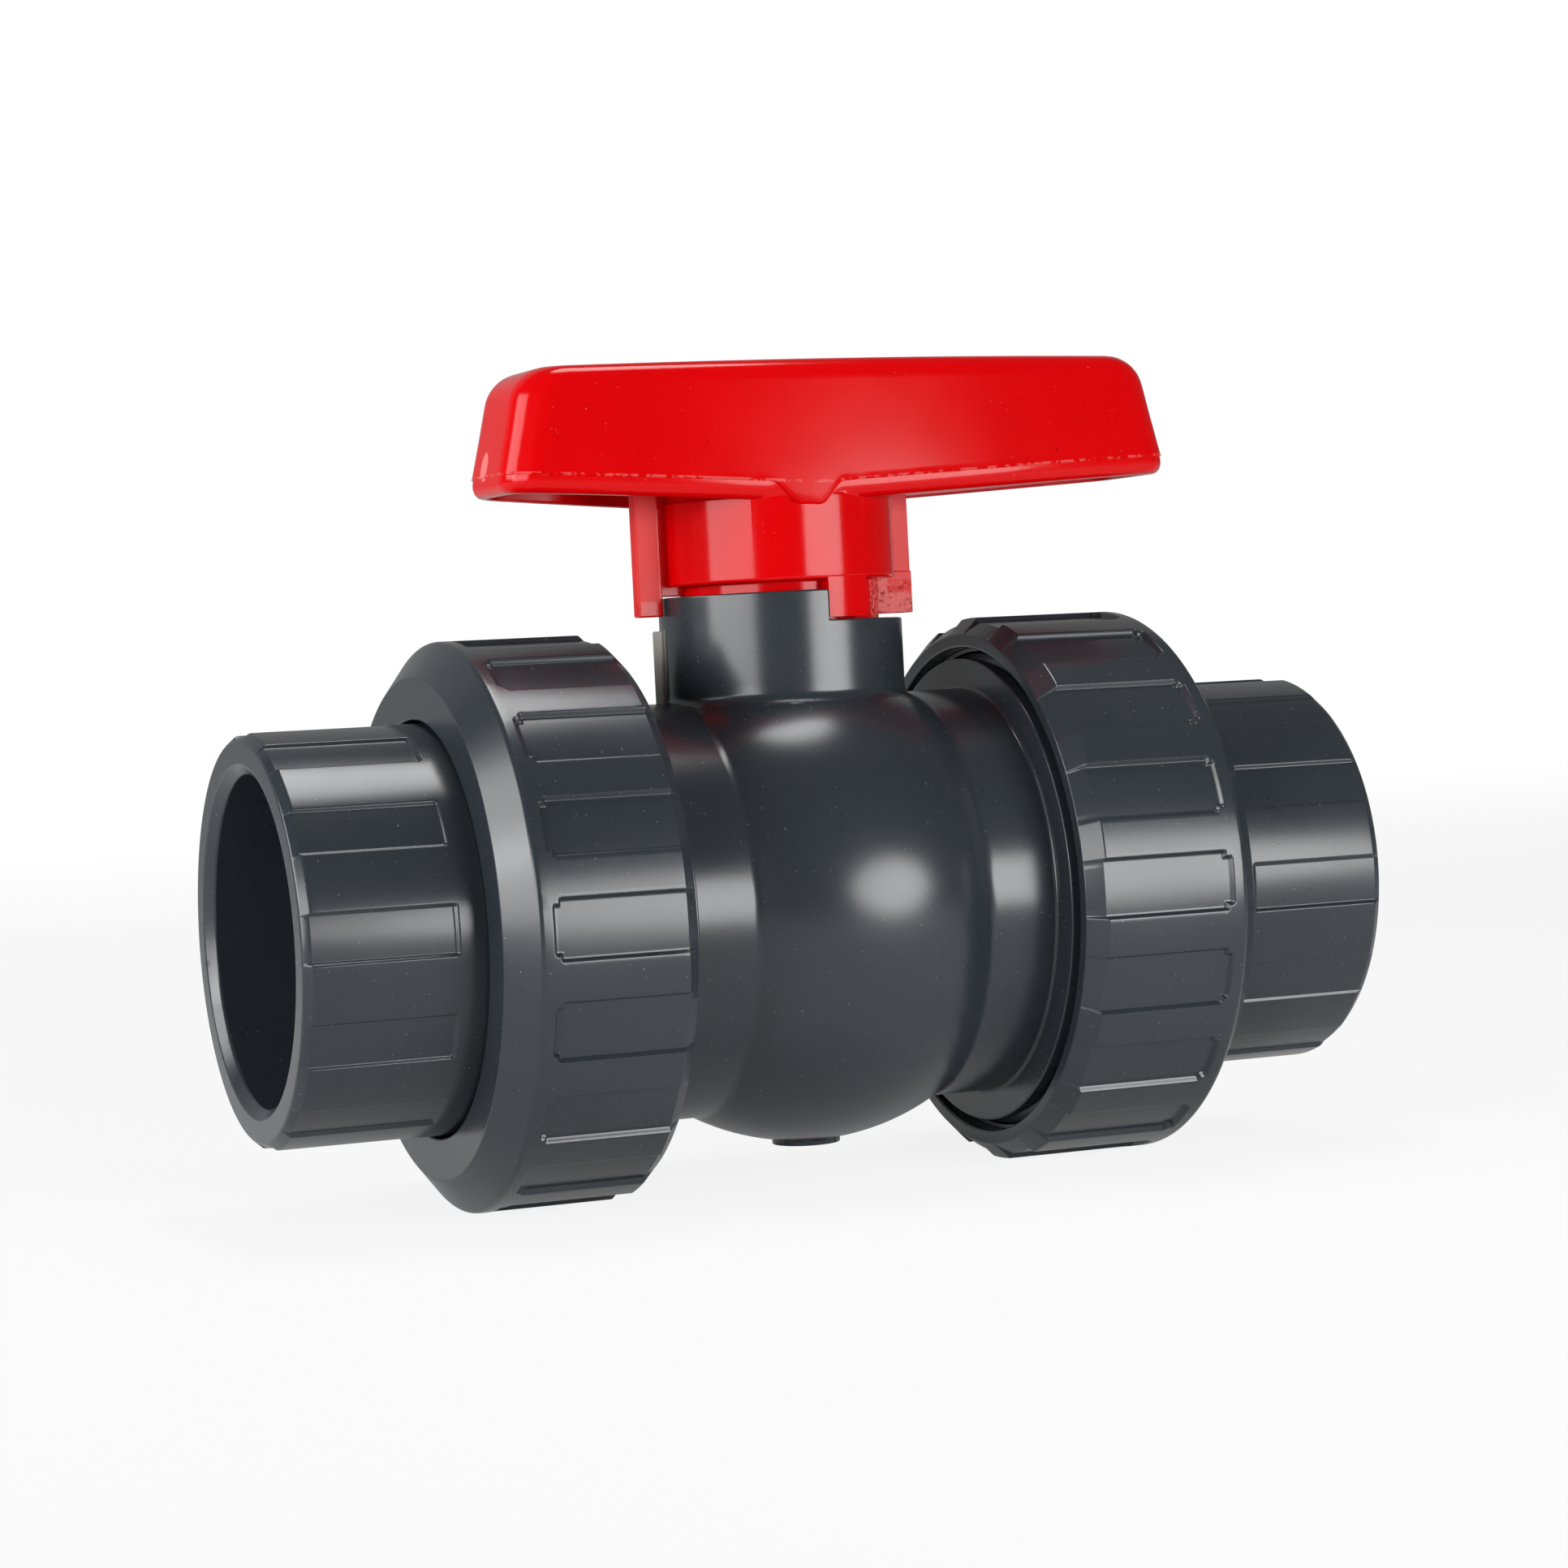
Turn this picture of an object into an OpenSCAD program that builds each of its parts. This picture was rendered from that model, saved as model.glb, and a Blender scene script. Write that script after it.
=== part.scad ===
// Double-union ball valve for solvent-welded plastic pipe.
// The pipe axis runs along X, the stem stands along Z, and the part rests on its two union nuts.

/* [Pipe sockets] */
// Outside diameter of the pipe that is cemented in
pipe_d = 50; // [48:0.5:52]
// Play between the pipe and the socket, on the diameter
pipe_play = 0.2; // [0.1:0.05:0.4]
// Depth of the pipe socket
socket_depth = 31; // [24:0.5:40]
// Wall of the socket under its grip panels
socket_wall = 5.9; // [4:0.1:6.3]
// Height of the lands between the grip panels of the socket
socket_land_h = 0.5; // [0.3:0.1:0.8]
// Bevel at the mouth of the socket
mouth_bevel = 1.3; // [0.5:0.1:2.5]
// Bevel at the outer end of the socket lands
land_bevel = 0.9; // [0.3:0.1:1.5]
// Number of grip panels on a socket
socket_panels = 12; // [6:1:16]
// Width of one socket grip panel, in degrees
socket_panel_deg = 13; // [6:0.5:18]
// Plain length of the socket between the nut and its grip panels
socket_plain = 4.2; // [2:0.2:8]
// Turn of the left socket's first grip panel, in degrees
socket_turn_left = 3; // [-15:0.5:15]
// Turn of the right socket's first grip panel, in degrees
socket_turn_right = -2; // [-15:0.5:15]

/* [End connectors] */
// Bore of the waterway through the connectors
way_d = 40; // [34:0.5:44]
// Length of the waterway between the socket and the sealing face
connector_neck = 10; // [8:0.5:20]
// Thickness of the flange that the union nut pulls on
flange_t = 6.6; // [4:0.2:7.5]
// Outside diameter of that flange
flange_d = 73.6; // [72:0.2:73.8]

/* [Union nuts] */
// Diameter over the lands of the nut
nut_d = 87.6; // [85:0.2:96]
// Length of the nut
nut_len = 30.6; // [26:0.2:33]
// Thickness of the lip that holds the connector flange
nut_lip_t = 6.6; // [4.5:0.1:8]
// Diameter of the flat ring on the outer face of the nut
nut_face_d = 77; // [68:0.5:80]
// Length of the cone at the outer end of the nut
nut_cone_len = 4.2; // [2:0.1:6]
// Depth of the nut's grip panels
nut_panel_depth = 0.8; // [0.4:0.1:1.4]
// Number of grip panels on a nut
nut_panels = 18; // [10:1:24]
// Width of one nut grip panel, in degrees
nut_panel_deg = 12; // [6:0.5:14]
// Plain length between the cone and the grip panels
nut_panel_plain = 2.4; // [2:0.2:6]
// Bevel at the inner end of the nut
nut_bevel = 2.7; // [0.3:0.1:3.2]
// Diameter of the smooth mouth of the nut thread
nut_mouth_d = 78; // [77.2:0.2:80]
// Depth of that smooth mouth
nut_mouth_len = 3; // [1.5:0.5:5]
// Gap between the socket lands and the hole of the nut
nut_hole_gap = 0.5; // [0.3:0.1:1]
// Turn of the nuts' first grip panel, in degrees
nut_turn = 1.6; // [-10:0.2:10]

/* [Body] */
// Length of the body over its two sealing faces
body_len = 96; // [94:0.5:104]
// Diameter of the round belly
belly_d = 75.4; // [74:0.2:82]
// Diameter of the necks beside the belly
neck_d = 65; // [64.6:0.2:68]
// Fillet between the belly and the necks
neck_fillet = 5; // [2:0.5:8]
// Distance from the stem axis to the threaded ends
shoulder_x = 30.5; // [29:0.5:31.4]
// Diameter of the plain shoulder before the union thread
shoulder_d = 74.6; // [73.8:0.2:75.6]
// Length of that shoulder
shoulder_len = 2; // [1:0.2:2.6]
// Diameter over the crests of the union thread
thread_d = 76; // [75.6:0.2:76.4]
// Height of the union thread ridges
thread_h = 1.2; // [0.8:0.1:1.4]
// Pitch of the union thread
thread_pitch = 4; // [3.6:0.1:4.6]
// Plain length before the first ridge of the union thread
thread_start = 4; // [3:0.5:6]
// Diameter of the moulding pad under the belly
pad_d = 11; // [8:1:24]
// Height of the moulding pad below the belly
pad_h = 0.6; // [0.3:0.1:1.5]

/* [Stem housing] */
// Outside diameter of the stem housing
collar_d = 38.4; // [37:0.2:42]
// Diameter of the recess in its top
collar_recess_d = 32.4; // [30:0.2:33]
// Height of the recess floor above the pipe axis
recess_floor_z = 41; // [40:0.5:42]
// Height of the low rim above the pipe axis
low_rim_z = 44.3; // [43.5:0.1:45]
// Height of the raised stop rim above the low rim
stop_rim_h = 4.7; // [3:0.1:5.2]
// Thickness of the rib on the side of the stem housing
rib_t = 1.2; // [0.6:0.1:2]
// Width of the rib on the side of the stem housing
rib_w = 4; // [2:0.5:8]

/* [Ball and seats] */
// Diameter of the ball
ball_d = 58; // [57:0.1:58.3]
// Bore of the ball
port_d = 39; // [32:0.5:40]
// Play between the ball and the body bore
ball_play = 0.4; // [0.3:0.05:0.6]
// Gap between the ball and a seat
seat_gap = 0.1; // [0.05:0.01:0.2]
// Outside diameter of a seat ring
seat_d = 52; // [50:0.5:53]
// Distance from the stem axis to the front of a seat
seat_front = 15.5; // [15:0.25:17]
// Distance from the stem axis to the back of a seat
seat_back = 24.5; // [23:0.25:25]
// Gap between a seat and its pocket
seat_play = 0.05; // [0.02:0.01:0.1]

/* [Seat carrier] */
// Distance from the stem axis to the outer face of the carrier
carrier_end = 44; // [42:0.5:46]
// Length of the threaded rim of the carrier
carrier_thread_len = 12; // [8:0.5:13]
// Diameter over the crests of the carrier thread
carrier_thread_d = 62; // [61:0.2:62.4]
// Height of the carrier thread ridges
carrier_thread_h = 0.8; // [0.5:0.1:0.9]
// Pitch of the carrier thread
carrier_pitch = 3; // [2.6:0.1:4]
// Depth of the two wrench slots in the carrier
wrench_slot_depth = 5; // [3:0.5:7]

/* [Stem] */
// Diameter of the stem in its guide
stem_d = 20; // [18:0.2:22]
// Running play of the stem in its guide, on the radius
stem_play = 0.05; // [0.02:0.01:0.1]
// Diameter of the flange that keeps the stem in
stem_flange_d = 26; // [24:0.2:28]
// Thickness of that flange
stem_flange_t = 3; // [2.4:0.1:3.6]
// Width of the tang that turns the ball
tang_w = 9; // [7:0.2:11]
// Length of the tang
tang_len = 20; // [16:0.5:22]
// Depth of the tang in the ball
tang_depth = 6; // [4:0.2:6.6]
// Side play of the tang in its slot
tang_play = 0.15; // [0.1:0.05:0.3]
// Width of the square that carries the handle
square_w = 13; // [11:0.2:13.6]
// Height of the square above the recess floor
square_h = 19; // [14:0.5:20]

/* [Rubber rings] */
// Section of the rings between the body and the connectors
face_ring_s = 2.8; // [2.4:0.1:3]
// Diameter of those rings at mid-section
face_ring_d = 68.8; // [68:0.2:69.4]
// Section of the rings behind the seats
seat_ring_s = 2.6; // [2:0.1:2.8]
// Section of the ring round the seat carrier
carrier_ring_s = 3; // [2.4:0.1:3.2]
// Section of the rings on the stem
stem_ring_s = 2.4; // [1.8:0.1:2.5]
// Share of a ring's section that stays when it is squeezed
ring_squeeze = 0.86; // [0.8:0.01:0.92]

/* [Handle] */
// Reach of the short arm from the stem axis
short_arm = 48.5; // [40:0.5:60]
// Reach of the long arm from the stem axis
long_arm = 66; // [50:0.5:75]
// Height of the handle's flat top above the pipe axis
handle_top_z = 85.2; // [80:0.2:95]
// Height of the handle's lower edge at the hub
handle_low_z = 62.4; // [62:0.2:66]
// Rise of the lower edge at the tips
tip_rise = 3.2; // [0:0.2:6]
// Lean of the end walls, from bottom to top
end_lean = 4.5; // [1:0.5:8]
// Width of the handle at the hub
handle_w = 37.4; // [37.2:0.2:42]
// Width of the handle at its tips
tip_w = 22.5; // [10:0.5:28]
// Lean of the side walls, from bottom to top
side_lean = 2; // [0.5:0.25:3]
// Wall of the handle shell
handle_wall = 3; // [2:0.25:4]
// Rounding of the upper corners
tip_round = 5; // [3:0.5:10]
// Rounding of the upright corners, seen from above
tip_corner = 6.5; // [3.5:0.5:7]
// Diameter of the hub
hub_d = 36.8; // [36:0.2:40]
// Gap between the hub and the raised stop rim
hub_gap = 1.1; // [0.5:0.1:2]
// Play between the hub spigot and the recess of the stem housing, on the radius
spigot_play = 0.5; // [0.3:0.1:1]
// Reach of the wrench prongs from the stem axis
prong_reach = 24; // [22.4:0.2:25]
// Thickness of the wrench prongs
prong_t = 4; // [3:0.2:5]
// Height of the prong ends above the low rim
prong_gap = 1.2; // [0.5:0.1:2]
// Width of the stop tab, in degrees
tab_deg = 24; // [12:1:30]
// Gap of the handle's stops and prongs to the stem housing
stop_gap = 0.4; // [0.3:0.05:0.8]
// Turn of the handle from open to closed
turn_deg = 90; // [80:1:90]

/* [Hidden] */
$fn = 96;
// Overlap that makes cuts and joins clean
eps = 0.5;
// Clear gap between two pieces that turn past each other
turn_gap = 0.3;
// Gap between the flats of two square pieces that slide together
slide_play = 0.1;
// Side room of a rubber ring in its groove
ring_side_gap = 0.15;
// Land between a ring groove and the edge beside it
ring_land = 1;
// Notch at the outer corners of a nut's grip panel
panel_notch = 0.9;
// Drop of the socket's end bevel below the floor of the grip panels
end_bevel_drop = 0.2;
// Setback of the seat carrier's inner end behind the front of its seat
carrier_setback = 0.5;
// Gap between the hub spigot and the floor of its recess
spigot_floor_gap = 1;
// Turn from the pipe axis to the stop that the open handle rests on, in degrees
stop_turn = 88.6;
// Least rounding of a corner inside the handle
least_round = 1;
// Setback of the stop tab's face behind the hub
tab_inset = 0.1;
// Depth of the neck fillet's round below the surfaces that it joins
blend_dip = 0.03;
// Number of straight steps in a rounded handle corner
corner_steps = 8;

nut_r = nut_d / 2;
axis_z = nut_r;
port_r = port_d / 2;
ball_r = ball_d / 2;
bore_r = ball_r + ball_play;

socket_r = (pipe_d + pipe_play) / 2;
socket_base_r = socket_r + socket_wall;
socket_land_r = socket_base_r + socket_land_h;

body_end = body_len / 2;
flange_out = body_end + flange_t;
lip_in = flange_out + turn_gap;
nut_out = lip_in + nut_lip_t;
nut_in = nut_out - nut_len;
socket_floor = body_end + connector_neck;
socket_end = socket_floor + socket_depth;

belly_r = belly_d / 2;
neck_r = neck_d / 2;
thread_r = thread_d / 2;
ridge_w = thread_pitch / 4;
thread_root_r = thread_r - thread_h;
nut_root_r = thread_r + turn_gap;
nut_crest_r = thread_root_r + turn_gap;

collar_r = collar_d / 2;
recess_r = collar_recess_d / 2;
stop_rim_z = low_rim_z + stop_rim_h;

stem_r = stem_d / 2;
guide_r = stem_r + stem_play;
flange_floor_z = ball_r + ball_play;
flange_top_z = flange_floor_z + stem_flange_t;
pocket_top_z = flange_top_z + slide_play;
tang_low_z = ball_r - tang_depth - slide_play;
slot_floor_z = tang_low_z - turn_gap;
slot_w = tang_w + 2 * tang_play;
stem_groove_h = stem_ring_s + 2 * ring_side_gap;
stem_groove_r = stem_r - stem_ring_s * ring_squeeze;
stem_ring_step = ring_land + stem_groove_h / 2;
stem_ring_z = [pocket_top_z + stem_ring_step, recess_floor_z - stem_ring_step];
square_top_z = recess_floor_z + square_h;

seat_r = seat_d / 2;
seat_ring_r = (seat_r + port_r) / 2;
seat_ring_depth = seat_ring_s * ring_squeeze;
face_ring_x = body_end - face_ring_s * ring_squeeze;

carrier_front = seat_front + carrier_setback;
carrier_root_r = carrier_thread_d / 2 - carrier_thread_h;
carrier_bore_r = carrier_thread_d / 2 + seat_play;
carrier_ridge_w = carrier_pitch / 4;
carrier_rim_start = carrier_end - carrier_thread_len;
carrier_barrel_r = bore_r - seat_play;
carrier_groove_w = carrier_ring_s + 2 * ring_side_gap;
carrier_groove_r = bore_r - carrier_ring_s * ring_squeeze;
carrier_ring_x = carrier_rim_start - ring_land - carrier_groove_w / 2;
wrench_slot_w = prong_t + 2 * stop_gap;
wrench_slot_r = prong_reach + stop_gap;

hub_r = hub_d / 2;
square_hole = square_w + 2 * slide_play;
hub_low_z = stop_rim_z + hub_gap;
spigot_r = recess_r - spigot_play;
spigot_low_z = recess_floor_z + spigot_floor_gap;
prong_low_z = low_rim_z + prong_gap;
prong_in = collar_r + stop_gap;
handle_mid = (long_arm - short_arm) / 2;
handle_half = (long_arm + short_arm) / 2;
handle_h = handle_top_z - handle_low_z;
side_bulge = (handle_w - tip_w) / 2;
side_r = (handle_half * handle_half + side_bulge * side_bulge) / (2 * side_bulge);
prong_top_z = handle_low_z + tip_rise + handle_wall;
prong_h = prong_top_z - prong_low_z;

// Angles round the stem, seen from above and counted from the +X pipe end
stop_start = -stop_turn;
tab_start = stop_start + stop_angle(stop_gap);
prong_half = asin(prong_t / 2 / collar_r);
stop_end = turn_deg + prong_half + stop_angle(stop_gap);

PVC = "#3b4147";
RED = "#e0000a";
PTFE = "#f2f2ee";
RUBBER = "#17181a";

function stop_angle(gap) = asin(gap / collar_r);

// Moves a shape from the pipe axis to its height above the ground
module on_axis() { translate([0, 0, axis_z]) children(); }

// Turns a profile of [radius, distance along X] points round the pipe axis
module turned(points) { rotate([0, 90, 0]) rotate_extrude() polygon(points); }

// A plain cylinder along X between two distances
module rod_x(r, x0, x1) { translate([x0, 0, 0]) rotate([0, 90, 0]) cylinder(h = x1 - x0, r = r); }

// A plain cylinder along Z between two heights
module rod_z(r, z0, z1) { translate([0, 0, z0]) cylinder(h = z1 - z0, r = r); }

// A sector of a ring about Z between two angles
module sector_z(r0, r1, z0, z1, a0, a1) {
    translate([0, 0, z0]) rotate([0, 0, a0]) rotate_extrude(angle = a1 - a0)
        translate([r0, 0]) square([r1 - r0, z1 - z0]);
}

// A sector of a ring about X, centred on an angle that is 0 towards -Y and 90 upwards
module sector_x(r0, r1, x0, x1, mid, wide) {
    rotate([0, 90, 0]) rotate([0, 0, -90 - mid - wide / 2]) rotate_extrude(angle = wide)
        translate([r0, x0]) square([r1 - r0, x1 - x0]);
}

// Profile of one thread ridge on a radius: outwards at side 1, inwards at side -1
function ridge(x, root, h, wide, side) = [
    [root - side * eps, x - wide], [root, x - wide], [root + side * h, x - wide / 2],
    [root + side * h, x + wide / 2], [root, x + wide], [root - side * eps, x + wide]
];

// A rubber ring about X, squeezed along X between two faces
module face_squeezed_ring(r, x0, section) {
    width = section * ring_squeeze;
    rotate([0, 90, 0]) rotate_extrude() intersection() {
        translate([r, x0 + width / 2]) circle(d = section);
        translate([r - section, x0]) square([2 * section, width]);
    }
}

// A rubber ring about Z or X, squeezed on the radius between a groove and a bore
module bore_squeezed_ring(groove, bore, section) {
    rotate_extrude() intersection() {
        translate([(groove + bore) / 2, 0]) circle(d = section);
        translate([groove, -section]) square([bore - groove, 2 * section]);
    }
}

// The grip panels cut into one socket
module socket_grip(turn) {
    for (i = [0 : socket_panels - 1])
        sector_x(socket_base_r, socket_land_r + eps, nut_out + socket_plain, socket_end + eps,
                 turn + i * 360 / socket_panels, socket_panel_deg);
}

// The grip panels cut into one nut, each with notched outer corners
module nut_grip() {
    outer = nut_out - nut_cone_len - nut_panel_plain;
    inner = nut_in - eps;
    wide = nut_r * sin(nut_panel_deg / 2);
    slim = wide - panel_notch;
    step = outer - panel_notch;
    floor_r = nut_r - nut_panel_depth;
    difference() {
        for (i = [0 : nut_panels - 1])
            rotate([90 - nut_turn - i * 360 / nut_panels, 0, 0])
                linear_extrude(height = nut_r + eps)
                    polygon([[inner, -wide], [step, -wide], [step, -slim], [outer, -slim],
                             [outer, slim], [step, slim], [step, wide], [inner, wide]]);
        rod_x(floor_r, inner - eps, outer + eps);
    }
}

// Profile of the fillet between the belly and one neck, whose round runs a little below both surfaces
module neck_blend() {
    reach = belly_r + neck_fillet;
    rise = neck_r + neck_fillet;
    mid = sqrt(reach * reach - rise * rise);
    share = belly_r / reach;
    difference() {
        polygon([[rise * share, mid * share], [rise, mid], [neck_r - 2 * eps, mid],
                 [neck_r - 2 * eps, mid * share]]);
        translate([rise, mid]) circle(r = neck_fillet + blend_dip);
    }
}

// Profile of the neck, shoulder and union thread on the +X side
module end_profile() {
    square([neck_r, shoulder_x + eps]);
    translate([0, shoulder_x]) square([shoulder_d / 2, shoulder_len]);
    translate([0, shoulder_x]) square([thread_root_r, body_end - shoulder_x]);
    for (x = [shoulder_x + thread_start : thread_pitch : body_end - ridge_w])
        polygon(ridge(x, thread_root_r, thread_h, ridge_w, 1));
    neck_blend();
}

// The outside of the body without its stem housing, turned from one profile
module body_form() {
    rotate([0, 90, 0]) rotate_extrude() {
        intersection() {
            circle(r = belly_r);
            translate([0, -belly_r]) square(2 * belly_r);
        }
        end_profile();
        mirror([0, 1]) end_profile();
    }
}

// The groove for a face ring in the +X end of the body
module face_groove() {
    r = face_ring_d / 2;
    half = face_ring_s / 2 + ring_side_gap;
    difference() {
        rod_x(r + half, face_ring_x, body_end + eps);
        rod_x(r - half, face_ring_x - eps, body_end + 2 * eps);
    }
}

// The groove behind a seat on the +X side
module seat_groove() {
    half = seat_ring_s / 2 + ring_side_gap;
    difference() {
        rod_x(seat_ring_r + half, seat_back - eps, seat_back + seat_ring_depth);
        rod_x(seat_ring_r - half, seat_back - 2 * eps, seat_back + seat_ring_depth + eps);
    }
}

// The outside of the stem housing with its stop rim and side rib
module stem_housing() {
    difference() {
        rod_z(collar_r, 0, stop_rim_z);
        sector_z(recess_r - eps, collar_r + eps, low_rim_z, stop_rim_z + eps, stop_start, stop_end);
    }
    translate([-collar_r - rib_t, -rib_w / 2, 0]) cube([collar_r, rib_w, low_rim_z - stop_gap]);
}

module body() {
    color(PVC) on_axis() difference() {
        union() {
            body_form();
            stem_housing();
            rod_z(pad_d / 2, -belly_r - pad_h, 0);
        }
        rod_x(bore_r, -carrier_front, carrier_rim_start + eps);
        rod_x(port_r, -body_end - eps, 0);
        rod_x(seat_r + seat_play, -seat_back, 0);
        mirror([1, 0, 0]) seat_groove();
        difference() {
            rod_x(carrier_bore_r, carrier_rim_start, body_end + eps);
            for (x = [carrier_rim_start + carrier_pitch : carrier_pitch : carrier_end - carrier_ridge_w])
                turned(ridge(x, carrier_bore_r, carrier_thread_h, carrier_ridge_w, -1));
        }
        face_groove();
        mirror([1, 0, 0]) face_groove();
        rod_z(stem_flange_d / 2 + turn_gap, 0, pocket_top_z);
        rod_z(guide_r, 0, stop_rim_z);
        rod_z(recess_r, recess_floor_z, stop_rim_z + eps);
    }
}

module ball() {
    color(PVC) on_axis() difference() {
        sphere(r = ball_r);
        rod_x(port_r, -ball_r - eps, ball_r + eps);
        translate([-slot_w / 2, -ball_r - eps, slot_floor_z]) cube([slot_w, 2 * (ball_r + eps), ball_r]);
    }
}

module stem() {
    color(PVC) on_axis() {
        intersection() {
            rod_z(tang_len / 2, tang_low_z, flange_floor_z + eps);
            translate([-tang_w / 2, -tang_len, 0]) cube([tang_w, 2 * tang_len, flange_top_z]);
        }
        rod_z(stem_flange_d / 2, flange_floor_z, flange_top_z);
        difference() {
            rod_z(stem_r, flange_floor_z, recess_floor_z);
            for (z = stem_ring_z)
                difference() {
                    rod_z(stem_r + eps, z - stem_groove_h / 2, z + stem_groove_h / 2);
                    rod_z(stem_groove_r, z - stem_groove_h, z + stem_groove_h);
                }
        }
        translate([-square_w / 2, -square_w / 2, recess_floor_z - eps])
            cube([square_w, square_w, square_h + eps]);
    }
}

module stem_ring(z) {
    color(RUBBER) on_axis() translate([0, 0, z]) bore_squeezed_ring(stem_groove_r, stem_r, stem_ring_s);
}

module stem_ring_lower() { stem_ring(stem_ring_z[0]); }

module stem_ring_upper() { stem_ring(stem_ring_z[1]); }

// One seat ring on the +X side, hollowed to the ball
module seat() {
    difference() {
        rod_x(seat_r, seat_front, seat_back);
        rod_x(port_r, 0, seat_back + eps);
        sphere(r = ball_r + seat_gap);
    }
}

module seat_left() { color(PTFE) on_axis() mirror([1, 0, 0]) seat(); }

module seat_right() { color(PTFE) on_axis() seat(); }

// The rubber ring behind one seat, on the +X side
module seat_ring() { face_squeezed_ring(seat_ring_r, seat_back, seat_ring_s); }

module seat_ring_left() { color(RUBBER) on_axis() mirror([1, 0, 0]) seat_ring(); }

module seat_ring_right() { color(RUBBER) on_axis() seat_ring(); }

module seat_carrier() {
    color(PVC) on_axis() difference() {
        union() {
            rod_x(carrier_barrel_r, carrier_front, carrier_rim_start + eps);
            rod_x(carrier_root_r, carrier_rim_start, carrier_end);
            for (x = [carrier_rim_start + carrier_pitch / 2 : carrier_pitch : carrier_end - carrier_ridge_w])
                turned(ridge(x, carrier_root_r, carrier_thread_h, carrier_ridge_w, 1));
        }
        rod_x(port_r, 0, carrier_end + eps);
        rod_x(seat_r + seat_play, 0, seat_back);
        seat_groove();
        difference() {
            rod_x(bore_r + eps, carrier_ring_x - carrier_groove_w / 2, carrier_ring_x + carrier_groove_w / 2);
            rod_x(carrier_groove_r, 0, carrier_end);
        }
        translate([carrier_end - wrench_slot_depth, -wrench_slot_w / 2, -wrench_slot_r])
            cube([wrench_slot_depth + eps, wrench_slot_w, 2 * wrench_slot_r]);
    }
}

module carrier_ring() {
    color(RUBBER) on_axis() translate([carrier_ring_x, 0, 0]) rotate([0, 90, 0])
        bore_squeezed_ring(carrier_groove_r, bore_r, carrier_ring_s);
}

// The rubber ring in one end of the body, on the +X side
module face_ring() { face_squeezed_ring(face_ring_d / 2, face_ring_x, face_ring_s); }

module face_ring_left() { color(RUBBER) on_axis() mirror([1, 0, 0]) face_ring(); }

module face_ring_right() { color(RUBBER) on_axis() face_ring(); }

// One end connector on the +X side, with its flange and pipe socket
module connector(turn) {
    way_r = way_d / 2;
    difference() {
        turned([[way_r, body_end], [flange_d / 2, body_end], [flange_d / 2, flange_out],
                [socket_land_r, flange_out], [socket_land_r, socket_end - land_bevel],
                [socket_base_r - end_bevel_drop, socket_end], [socket_r + mouth_bevel, socket_end],
                [socket_r, socket_end - mouth_bevel], [socket_r, socket_floor], [way_r, socket_floor]]);
        socket_grip(turn);
    }
}

module connector_left() { color(PVC) on_axis() mirror([1, 0, 0]) connector(socket_turn_left); }

module connector_right() { color(PVC) on_axis() connector(socket_turn_right); }

// One union nut on the +X side
module union_nut() {
    hole_r = socket_land_r + nut_hole_gap;
    mouth_end = nut_in + nut_mouth_len;
    difference() {
        turned([[hole_r, lip_in], [hole_r, nut_out], [nut_face_d / 2, nut_out],
                [nut_r, nut_out - nut_cone_len], [nut_r, nut_in + nut_bevel], [nut_r - nut_bevel, nut_in],
                [nut_mouth_d / 2, nut_in], [nut_mouth_d / 2, mouth_end], [nut_root_r, mouth_end],
                [nut_root_r, lip_in]]);
        nut_grip();
    }
    first = shoulder_x + thread_start + thread_pitch * 3 / 2;
    for (x = [first : thread_pitch : lip_in - 2 * ridge_w])
        turned(ridge(x, nut_root_r, nut_root_r - nut_crest_r, ridge_w, -1));
}

module union_nut_left() { color(PVC) on_axis() mirror([1, 0, 0]) union_nut(); }

module union_nut_right() { color(PVC) on_axis() union_nut(); }

// Points of a rounded corner between the flat top and a leaning end wall
function corner(x, top, lean, r) = let (mid = x - r * (1 - sin(lean)) / cos(lean))
    [for (i = [0 : corner_steps]) let (a = lean + (90 - lean) * i / corner_steps)
        [mid + r * cos(a), top - r + r * sin(a)]];

// Mirrors a row of points left to right and turns its order round
function flipped(points) = [for (i = [len(points) - 1 : -1 : 0]) [-points[i][0], points[i][1]]];

// Side outline of the handle, drawn in by a wall and with its lower edge let down by a drop
module side_outline(wall, drop) {
    top = handle_top_z - wall;
    tip_z = handle_low_z + tip_rise - drop;
    lean = atan(end_lean / (handle_top_z - handle_low_z - tip_rise));
    r = max(tip_round - wall, least_round);
    polygon(concat(
        [[-short_arm + wall, tip_z], [0, handle_low_z - drop], [long_arm - wall, tip_z]],
        corner(long_arm - wall - end_lean, top, lean, r),
        flipped(corner(short_arm - wall - end_lean, top, lean, r))));
}

// Solid form of the handle's wing: two leaning side walls cut to the side outline
module wing(wall, drop) {
    intersection() {
        translate([0, handle_w, 0]) rotate([90, 0, 0])
            linear_extrude(height = 2 * handle_w) side_outline(wall, drop);
        side_form(-1, wall, drop);
        side_form(1, wall, drop);
        corner_form(wall, drop);
    }
}

// Points of a rounded upright corner of the wing, seen from above and counted from the wing's middle
function plan_corner(reach, side, r) = let (
        x = reach - r,
        y = sqrt(pow(side - r, 2) - x * x) - side_r + handle_w / 2,
        last = atan2(y + side_r - handle_w / 2, x))
    [for (i = [0 : corner_steps]) let (a = last * i / corner_steps) [x + r * cos(a), y + r * sin(a)]];

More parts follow.
